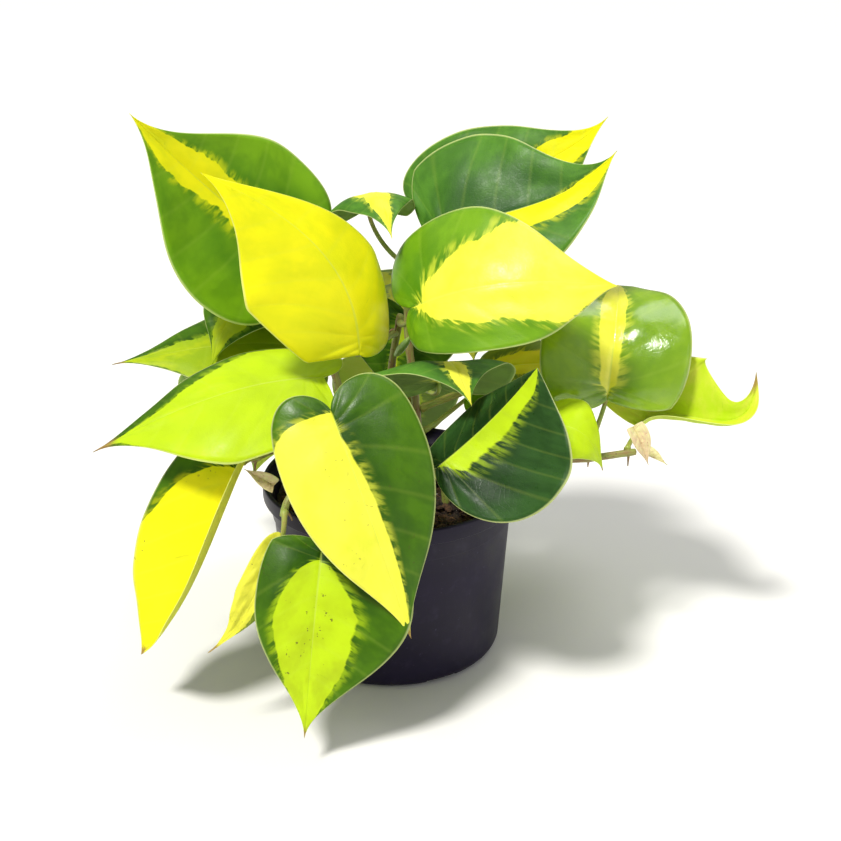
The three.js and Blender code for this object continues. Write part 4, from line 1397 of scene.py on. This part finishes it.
SHEATHS = {
    "sheath_left": LeafPlan(
        None, 0, (-46, -58, 102), (-57, -60, 110), (-20, 40), (4, 4), rise=(1, 1), fold=(35, 35),
        drip=0.1, ears=(0.1, 0.1), wave=0.1,
    ),
    "sheath_right_upper": LeafPlan(
        None, 0, (100, -31, 116), (107, -34, 100), (20, 20), (5, 5), rise=(2, 1), fold=(30, 30),
        drip=0.1, ears=(0.1, 0.1), wave=0.1,
    ),
    "sheath_right_end": LeafPlan(
        None, 0, (106, -20, 101), (117, -23, 95), (20, 50), (3, 3), rise=(1, 1), fold=(30, 30),
        drip=0.1, ears=(0.1, 0.1), wave=0.1,
    ),
}

SHOOTS = {
    "shoot_upper": ("stem_centre", 0.78, (9, -6, 147), 1.9),
    "shoot_front": ("stem_front", 0.42, (-1, -42, 136), 2),
    "shoot_front_small": ("stem_front", 0.36, (6, -44, 124), 1.5),
}


# ------------------------------------------------------------------ leaves


class Blade:
    """The blade of one leaf: its midrib, its outline and the surface between them."""

    SINUS = 0.16
    SHOULDER = 0.4
    SAMPLES = 64
    FINE_SAMPLES = 400

    def __init__(self, plan: LeafPlan, seed: int) -> None:
        """Sets out the midrib.

        Args:
            plan: The leaf's place and shape.
            seed: Seed of its small irregularities.
        """
        self.plan = plan
        self.random = np.random.default_rng(seed)
        base, tip = np.asarray(plan.base, float), np.asarray(plan.tip, float)
        along = unit(tip - base)
        around, above = np.radians(plan.face)
        level = math.cos(above)
        up = np.array([math.sin(around) * level, -math.cos(around) * level, math.sin(above)])
        up = unit(up - (up @ along) * along)
        side = np.cross(along, up)
        inner = [base + (tip - base) * (i + 1) / 3 + up * plan.rise[i] + side * plan.sway[i] for i in (0, 1)]
        fine = bezier([base, *inner, tip], np.linspace(0, 1, self.FINE_SAMPLES))
        self.spine, self.length = evenly(fine, self.SAMPLES + 1)
        self.tangents, self.normals, self.rights = frames_along(self.spine, up, self.SAMPLES // 2)

    def outline(self, t: np.ndarray, hand: int) -> tuple[np.ndarray, np.ndarray, np.ndarray]:
        """Half of the heart-shaped outline.

        Args:
            t: Shares of the outline's run from base to tip.
            hand: 0 for the left half, 1 for the right.

        Returns:
            Width as a share of the half, place along the midrib, and where the side vein that
            ends there leaves the midrib.
        """
        plan = self.plan
        full, belly = plan.full[hand], plan.belly[hand]
        first = t <= self.SHOULDER
        s1 = np.clip(t / self.SHOULDER, 0, 1)
        s2 = np.clip((t - self.SHOULDER) / (1 - self.SHOULDER), 0, 1)
        lobe = -0.24 + 0.6 * (belly - 0.22)
        y1 = bezier([0, -self.SINUS, lobe, belly], s1)[:, 0]
        y1 = np.where(y1 < 0, y1 * plan.ears[hand], y1)
        y2 = bezier([belly, full, 0.74 + 0.5 * (full - 0.56), 1], s2)[:, 0]
        x1 = bezier([0, 0.14, 1, 1], s1)[:, 0]
        x2 = bezier([1, 1, plan.drip, 0], s2)[:, 0]
        return np.where(first, x1, x2), np.where(first, y1, y2), 0.1 * s1 + 0.9 * s2

    def frame_at(self, share: np.ndarray) -> list[np.ndarray]:
        """Points, normals and sideways directions at shares of the midrib."""
        place = np.clip(share, 0, 1) * self.SAMPLES
        low = np.clip(place.astype(int), 0, self.SAMPLES - 1)
        mix = (place - low)[:, None]
        tables = (self.spine, self.normals, self.rights)
        return [rows[low] * (1 - mix) + rows[low + 1] * mix for rows in tables]

    def middle(self, t: np.ndarray, v: np.ndarray) -> np.ndarray:
        """Grid of points on the blade's middle surface.

        Args:
            t: Shares of the outline's run.
            v: Shares of the width, from -1 at the left margin to 1 at the right.

        Returns:
            Points in an array of t by v.
        """
        plan = self.plan
        grid = np.zeros((len(t), len(v), 3))
        phases = self.random.uniform(0, 1, 6)
        for j, across in enumerate(v):
            hand = int(across > 0)
            out = abs(across)
            width, end, root = self.outline(t, hand)
            x, y = width * out, root + (end - root) * out**1.3
            bend = math.radians(plan.curl[hand]) * x / 2
            lean = math.radians(plan.fold[hand]) + bend
            reach = plan.half[hand] * x * np.sinc(bend / np.pi)
            point, normal, right = self.frame_at(y)
            beyond = y < 0
            point = point + np.where(beyond[:, None], self.tangents[0] * (y * self.length)[:, None], 0)
            lift = reach * np.sin(lean) + np.where(beyond, plan.droop * (y / self.SINUS) ** 2, 0)
            ruffle = np.sin(2 * np.pi * (2.2 * t + phases[hand])) + 0.5 * np.sin(
                2 * np.pi * (4.6 * t + phases[2 + hand]))
            lift = lift + plan.wave * out**2.5 * np.sin(np.pi * t) * ruffle * 0.7
            swell = np.sin(2 * np.pi * (1.3 * t + 0.8 * across + phases[4])) + 0.6 * np.sin(
                2 * np.pi * (2.9 * t - 1.1 * across + phases[5]))
            lift = lift + 0.45 * plan.wave * swell * np.sin(np.pi * t) * min(1.0, 3 * out)
            grid[:, j] = (point + unit(right) * ((1 if hand else -1) * reach * np.cos(lean))[:, None]
                          + unit(normal) * lift[:, None])
        return grid


class Web:
    """Faces gathered one by one, with their UV places and their underside marks."""

    def __init__(self) -> None:
        """Starts with no faces."""
        self.faces = []
        self.uv = []
        self.under = []

    def face(self, corners: list, places: list, is_under: float) -> None:
        """Adds a face without its repeated corners.

        Args:
            corners: Vertex indices round the face.
            places: The UV place of each corner.
            is_under: 1 on a blade's underside.
        """
        kept = [k for k in range(len(corners)) if corners[k] != corners[k - 1]]
        if len(kept) > 2:
            self.faces.append(tuple(int(corners[k]) for k in kept))
            self.uv.append([places[k] for k in kept])
            self.under.append(is_under)


@dataclass(frozen=True)
class LeafMaker:
    """Grows leaves: an embossed blade with a ridged underside, on its stalk."""

    rows: int = 84
    columns: int = 19
    thickness: float = 0.42
    margin_thickness: float = 0.22
    veins: int = 9
    quilt: float = 0.36
    groove: float = 0.42
    ridge: float = 0.95
    stalk_radius: float = 1.15
    stalk_gap: float = 0.45

    def relief(self, t: np.ndarray, v: np.ndarray) -> np.ndarray:
        """Height of the embossing: swellings between side veins and a groove at the midrib."""
        t, v = t[:, None], v[None, :]
        out = np.abs(v)
        phase = t * self.veins + VEIN_STAGGER * (v > 0)
        swell = self.quilt * np.abs(np.sin(np.pi * phase)) ** 0.8 * np.sin(np.pi * np.clip(out, 0, 1)) ** 0.7
        return swell * (1 - t) ** 0.35 - self.groove * (1 - t) * np.exp(-((out / 0.035) ** 2))

    def skins(self, blade: Blade, t: np.ndarray, v: np.ndarray) -> tuple[np.ndarray, np.ndarray]:
        """The upper and the lower skin of a blade, with the ridge under its midrib.

        Args:
            blade: The blade's shape.
            t: Shares of the outline's run.
            v: Shares of the width, from -1 to 1.

        Returns:
            Two arrays of points, t by v.
        """
        middle = blade.middle(t, v)
        down = np.gradient(middle, axis=0)
        across = np.gradient(middle, axis=1)
        normal = unit(np.cross(across, down))
        normal[0], normal[-1] = normal[1], normal[-2]
        out = np.abs(v)[None, :]
        half = (self.margin_thickness + (self.thickness - self.margin_thickness) * (1 - out**6)) / 2
        half = half * np.ones((len(t), 1))
        ridge = self.ridge * (1 - t[:, None]) ** 1.2 * np.exp(-((out / 0.03) ** 2))
        height = self.relief(t, v)
        upper = middle + normal * (half + height)[..., None]
        lower = middle - normal * (half - height * (out > 0.02) + ridge)[..., None]
        return upper, lower

    def blade(self, name: str, blade: Blade, skin: bpy.types.Material, fit: PlantFit) -> bpy.types.Object:
        """Makes a blade's mesh: an upper and a lower skin and the margin between them.

        Args:
            name: The piece's name.
            blade: The blade's shape.
            skin: Its material.
            fit: The pot's fit.

        Returns:
            The blade, with its UV map (across, along).
        """
        rows, width = self.rows, 2 * self.columns + 1
        t = np.linspace(0, 1, rows + 1)
        s = np.linspace(0, 1, self.columns + 1) ** 1.35
        v = np.concatenate([-s[::-1], s[1:]])
        points, ids = [], []
        for skin_points in self.skins(blade, t, v):
            number = np.zeros((rows + 1, width), int)
            number[0], number[-1] = len(points), len(points) + 1
            points += [skin_points[0, self.columns], skin_points[-1, self.columns]]
            for i in range(1, rows):
                number[i] = len(points) + np.arange(width)
                points += list(skin_points[i])
            ids.append(number)
        web = Web()

        def place(i: int, j: int) -> tuple[float, float]:
            """UV place of a grid corner."""
            return 0.5 + 0.5 * v[j], t[i]

        for i in range(rows):
            for j in range(width - 1):
                cells = [(i, j), (i, j + 1), (i + 1, j + 1), (i + 1, j)]
                places = [place(*cell) for cell in cells]
                web.face([ids[0][cell] for cell in cells], places, 0.0)
                web.face([ids[1][cell] for cell in cells[::-1]], places[::-1], 1.0)
            for j, turn in ((0, 1), (width - 1, -1)):
                corners = [ids[0][i, j], ids[0][i + 1, j], ids[1][i + 1, j], ids[1][i, j]][::turn]
                places = [place(i, j), place(i + 1, j), place(i + 1, j), place(i, j)][::turn]
                web.face(corners, places, 0.0)
        return mesh_object(name, fit.carry(np.array(points)), web.faces, skin, web.uv, web.under)

    def stalk_curve(self, plan: LeafPlan, blade: Blade, stem: StemPlan) -> np.ndarray:
        """The leaf stalk's points, from beside its stem to under the blade's base."""
        node, stem_way, radius = stem.node(plan.at)
        tangent, normal = blade.tangents[0], blade.normals[0]
        end = blade.spine[0] + tangent * 2.5
        out = end - node
        reach = np.linalg.norm(out)
        out = unit(out - (out @ stem_way) * stem_way)
        start = node + out * (radius + self.stalk_gap)
        arrive = -0.75 * tangent - 0.65 * normal
        bent = [start, start + out * 0.25 * reach + stem_way * 0.1 * reach, end + arrive * 0.35 * reach,
                end - normal * 0.7]
        return evenly(bezier(bent, np.linspace(0, 1, 120)), 30)[0]

    def grow(self, node: str, plan: LeafPlan, stem: StemPlan, seed: int, stalk_skin: bpy.types.Material,
             fit: PlantFit) -> None:
        """Makes one leaf and hands it to the frame.

        Args:
            node: The CAD node that it stands for.
            plan: Its place and shape.
            stem: The stem that carries it.
            seed: Seed of its small irregularities.
            stalk_skin: Material of the stalk.
            fit: The pot's fit.
        """
        blade = Blade(plan, seed)
        skin = HeartLeafSkin(plan.look, seed * 1.7, self.veins).material(f"{node}_skin")
        leaf = self.blade(f"{node}_blade", blade, skin, fit)
        curve = fit.carry(self.stalk_curve(plan, blade, stem))
        share = np.linspace(0, 1, len(curve))
        radii = self.stalk_radius * (1 - 0.2 * share + 0.45 * smooth_bump(share, 0, 0.07)
                                     + 0.15 * smooth_bump(share, 0.95, 0.05))
        radii[-2:] *= (0.85, 0.55)
        stalk = Tube(curve, radii, 12).object(f"{node}_stalk", stalk_skin)
        settle(join_parts(f"{node}_grown", [leaf, stalk]), "leaf", node)


# ------------------------------------------------------------------ stems, sheaths and shoots


@dataclass
class Vines:
    """The stems, with their swollen nodes and short aerial roots."""

    skin: GreenBark = GreenBark("green_stem_skin", "#8FA24A", "#8C6B45", "#5D4630")
    root_skin: GreenBark = GreenBark("aerial_root_skin", "#A98C62", "#6E5236", "#4A3626", 0.8)
    sides: int = 18
    steps: int = 140
    node_swell: float = 0.10
    node_neck: float = 0.06
    root_lengths: tuple = (2.5, 6.0)
    root_radii: tuple = (0.75, 0.25)
    root_steps: int = 10
    root_sides: int = 8

    def build(self, stems: dict, leaves: dict, fit: PlantFit) -> None:
        """Makes every stem and hands it to the frame.

        Args:
            stems: Stem name to its plan.
            leaves: Leaf name to its plan, which says where the nodes are.
            fit: The pot's fit.
        """
        green, brown = self.skin.material(), self.root_skin.material()
        for number, (name, plan) in enumerate(stems.items()):
            points = plan.curve(self.steps)
            share = np.linspace(0, 1, len(points))
            nodes = [leaf.at for leaf in leaves.values() if leaf.stem == name]
            radii = plan.radius * (1 + (plan.tip_share - 1) * share)
            for at in nodes:
                swell = self.node_swell * smooth_bump(share, at, 0.02)
                neck = self.node_neck * smooth_bump(share, at + 0.03, 0.008)
                radii = radii * (1 + swell - neck)
            stem = Tube(fit.carry(points), radii, self.sides).object(f"{name}_vine", green)
            parts = [stem, *self.roots(name, plan, nodes, brown, fit, number)]
            settle(join_parts(f"{name}_vine", parts), "stem", name)

    def roots(self, name: str, plan: StemPlan, nodes: list[float], skin: bpy.types.Material, fit: PlantFit,
              seed: int) -> list[bpy.types.Object]:
        """Short aerial roots opposite a stem's leaves."""
        random = np.random.default_rng(40 + seed)
        made = []
        for number, at in enumerate(nodes):
            point, way, radius = plan.node(min(at, 0.97))
            side = unit(np.cross(way, random.normal(size=3)))
            down = np.array([0, 0, -1.0])
            length = random.uniform(*self.root_lengths)
            bent = [
                point, point + side * (radius + 1.2),
                point + side * (radius + 0.5 * length) + down * 0.3 * length,
                point + side * (radius + 0.7 * length) + down * 0.8 * length,
            ]
            curve = evenly(bezier(bent, np.linspace(0, 1, 3 * self.root_steps)), self.root_steps)[0]
            radii = np.linspace(*self.root_radii, self.root_steps)
            root = Tube(fit.carry(curve), radii, self.root_sides)
            made.append(root.object(f"{name}_root_{number}", skin))
        return made


@dataclass
class YoungGrowth:
    """Sheaths that leaves have left behind, and leaves that are still rolled up."""

    sheath_skin: GreenBark = GreenBark("dry_sheath", "#DFDB9C", "#D8BC96", "#B88C6A", 0.6)
    shoot_skin: GreenBark = GreenBark("rolled_leaf_skin", "#A8C86A", "#8FB552", "#C6D98C", 0.4)
    roll_steps: int = 40
    roll_sides: int = 16
    roll_places: tuple = (0, 0.06, 0.3, 0.7, 0.92, 1)
    roll_widths: tuple = (0.5, 0.62, 0.96, 0.76, 0.25, 0.06)

    def sheaths(self, plans: dict, maker: LeafMaker, fit: PlantFit) -> None:
        """Makes the sheaths, as small boat-shaped blades.

        Args:
            plans: Sheath name to its plan.
            maker: The maker of blades.
            fit: The pot's fit.
        """
        skin = self.sheath_skin.material()
        for number, (node, plan) in enumerate(plans.items()):
            piece = maker.blade(f"{node}_bract", Blade(plan, 70 + number), skin, fit)
            settle(piece, "sheath", node)

    def shoots(self, plans: dict, stems: dict, fit: PlantFit) -> None:
        """Makes the rolled leaves, as spindles.

        Args:
            plans: Shoot name to its stem, place on it, point and radius.
            stems: Stem name to its plan.
            fit: The pot's fit.
        """
        skin = self.shoot_skin.material()
        for node, (stem, at, tip, radius) in plans.items():
            point, way, stem_radius = stems[stem].node(at)
            out = np.asarray(tip, float) - point
            out = unit(out - (out @ way) * way)
            start = point + out * (stem_radius + 0.3 + 0.5 * radius)
            share = np.linspace(0, 1, self.roll_steps)
            line = start + (np.asarray(tip, float) - start) * share[:, None]
            radii = radius * np.interp(share, self.roll_places, self.roll_widths)
            roll = Tube(fit.carry(line), radii, self.roll_sides)
            settle(roll.object(f"{node}_roll", skin), "shoot", node)


# ------------------------------------------------------------------ the studio


@dataclass(frozen=True)
class Studio:
    """A pale floor, soft lights and the camera.

    Places of the camera and the lights are in metres, sizes of the floor and the backdrop in
    millimetres. aim is the point that the lights look at.
    """

    camera_place: tuple = (0.0126, -0.570, 0.342)
    camera_down: float = 22.5
    focal_length: float = 60.74
    floor_colour: str = "#F6F5F2"
    floor_reach: float = 4000.0
    sky_strength: float = 0.36
    aim: tuple = (0, 0, 0.12)
    backdrop_radius: float = 3200.0
    backdrop_height: float = 1600.0
    backdrop_sides: int = 64
    backdrop_glow: float = 0.96

    def build(self) -> None:
        """Makes the camera, the lights and the floor."""
        scene = bpy.context.scene
        lens = bpy.data.cameras.new("camera")
        lens.lens = self.focal_length
        lens.sensor_width = 36.0
        camera = bpy.data.objects.new("camera", lens)
        camera.location = self.camera_place
        camera.rotation_euler = (math.radians(90 - self.camera_down), 0, 0)
        scene.collection.objects.link(camera)
        scene.camera = camera
        scene.view_settings.view_transform = "Standard"
        self.lamp("key", "SUN", (-0.34, -0.44, 1.05), 3.1, (1.0, 0.98, 0.94)).angle = math.radians(11)
        self.lamp("window", "AREA", (0.26, 0.27, 1.0), 2.6, (1.0, 1.0, 1.0)).size = 0.5
        self.lamp("fill", "AREA", (0.9, -0.75, 0.4), 1.6, (0.95, 0.98, 1.0)).size = 0.9
        world = bpy.data.worlds.new("studio")
        world.use_nodes = True
        sky = world.node_tree.nodes["Background"].inputs
        sky["Color"].default_value = (1, 1, 1, 1)
        sky["Strength"].default_value = self.sky_strength
        scene.world = world
        material, tree = new_material("studio_floor")
        surface(tree, {"Base Color": linear(self.floor_colour), "Roughness": 0.9})
        reach = self.floor_reach
        corners = np.array([(-reach, -reach, 0), (reach, -reach, 0), (reach, reach, 0), (-reach, reach, 0)])
        mesh_object("floor", corners, [(0, 1, 2, 3)], material)
        self.backdrop()

    def backdrop(self) -> None:
        """Makes a low glowing wall all round, so that the floor ends in white."""
        material, tree = new_material("glowing_backdrop")
        surface(tree, {
            "Base Color": (0, 0, 0, 1), "Emission Color": (1, 1, 1, 1),
            "Emission Strength": self.backdrop_glow,
        })
        sides = self.backdrop_sides
        turn = np.linspace(0, 2 * np.pi, sides, endpoint=False)
        ring = self.backdrop_radius * np.stack([np.cos(turn), np.sin(turn)], 1)
        heights = (0.0, self.backdrop_height)
        points = np.concatenate([np.column_stack([ring, np.full(sides, z)]) for z in heights])
        faces = [((k + 1) % sides, k, k + sides, (k + 1) % sides + sides) for k in range(sides)]
        wall = mesh_object("backdrop", points, faces, material)
        wall.visible_diffuse = wall.visible_glossy = wall.visible_shadow = False

    def lamp(self, name: str, kind: str, place: tuple, power: float, colour: tuple) -> bpy.types.Light:
        """Adds a soft light that looks at the plant.

        Args:
            name: The light's name.
            kind: SUN or AREA.
            place: Its place in metres.
            power: Its strength, or its power in watts.
            colour: Its linear colour.

        Returns:
            The light, whose size is still to be set.
        """
        light = bpy.data.lights.new(name, kind)
        light.energy = power
        light.color = colour
        lamp = bpy.data.objects.new(name, light)
        lamp.location = place
        lamp.rotation_euler = (Vector(self.aim) - Vector(place)).to_track_quat("-Z", "Y").to_euler()
        bpy.context.scene.collection.objects.link(lamp)
        return light


def main() -> None:
    """Builds the potted plant around the frame."""
    logging.basicConfig(level=logging.INFO, format="%(name)s: %(message)s")
    Studio().build()
    fit = PlantFit.from_frame()
    pot = NurseryPot()
    pot.build()
    PottingMix().build(pot, fit.soil_top)
    Vines().build(STEMS, LEAVES, fit)
    maker = LeafMaker()
    stalk_skin = GreenBark("leaf_stalk_skin", "#93AE4C", "#A8A24E", "#A9805A", 0.42).material()
    for seed, (node, plan) in enumerate(LEAVES.items(), start=1):
        maker.grow(node, plan, STEMS[plan.stem], seed, stalk_skin, fit)
    growth = YoungGrowth()
    growth.sheaths(SHEATHS, maker, fit)
    growth.shoots(SHOOTS, STEMS, fit)


if __name__ == "__main__":
    main()
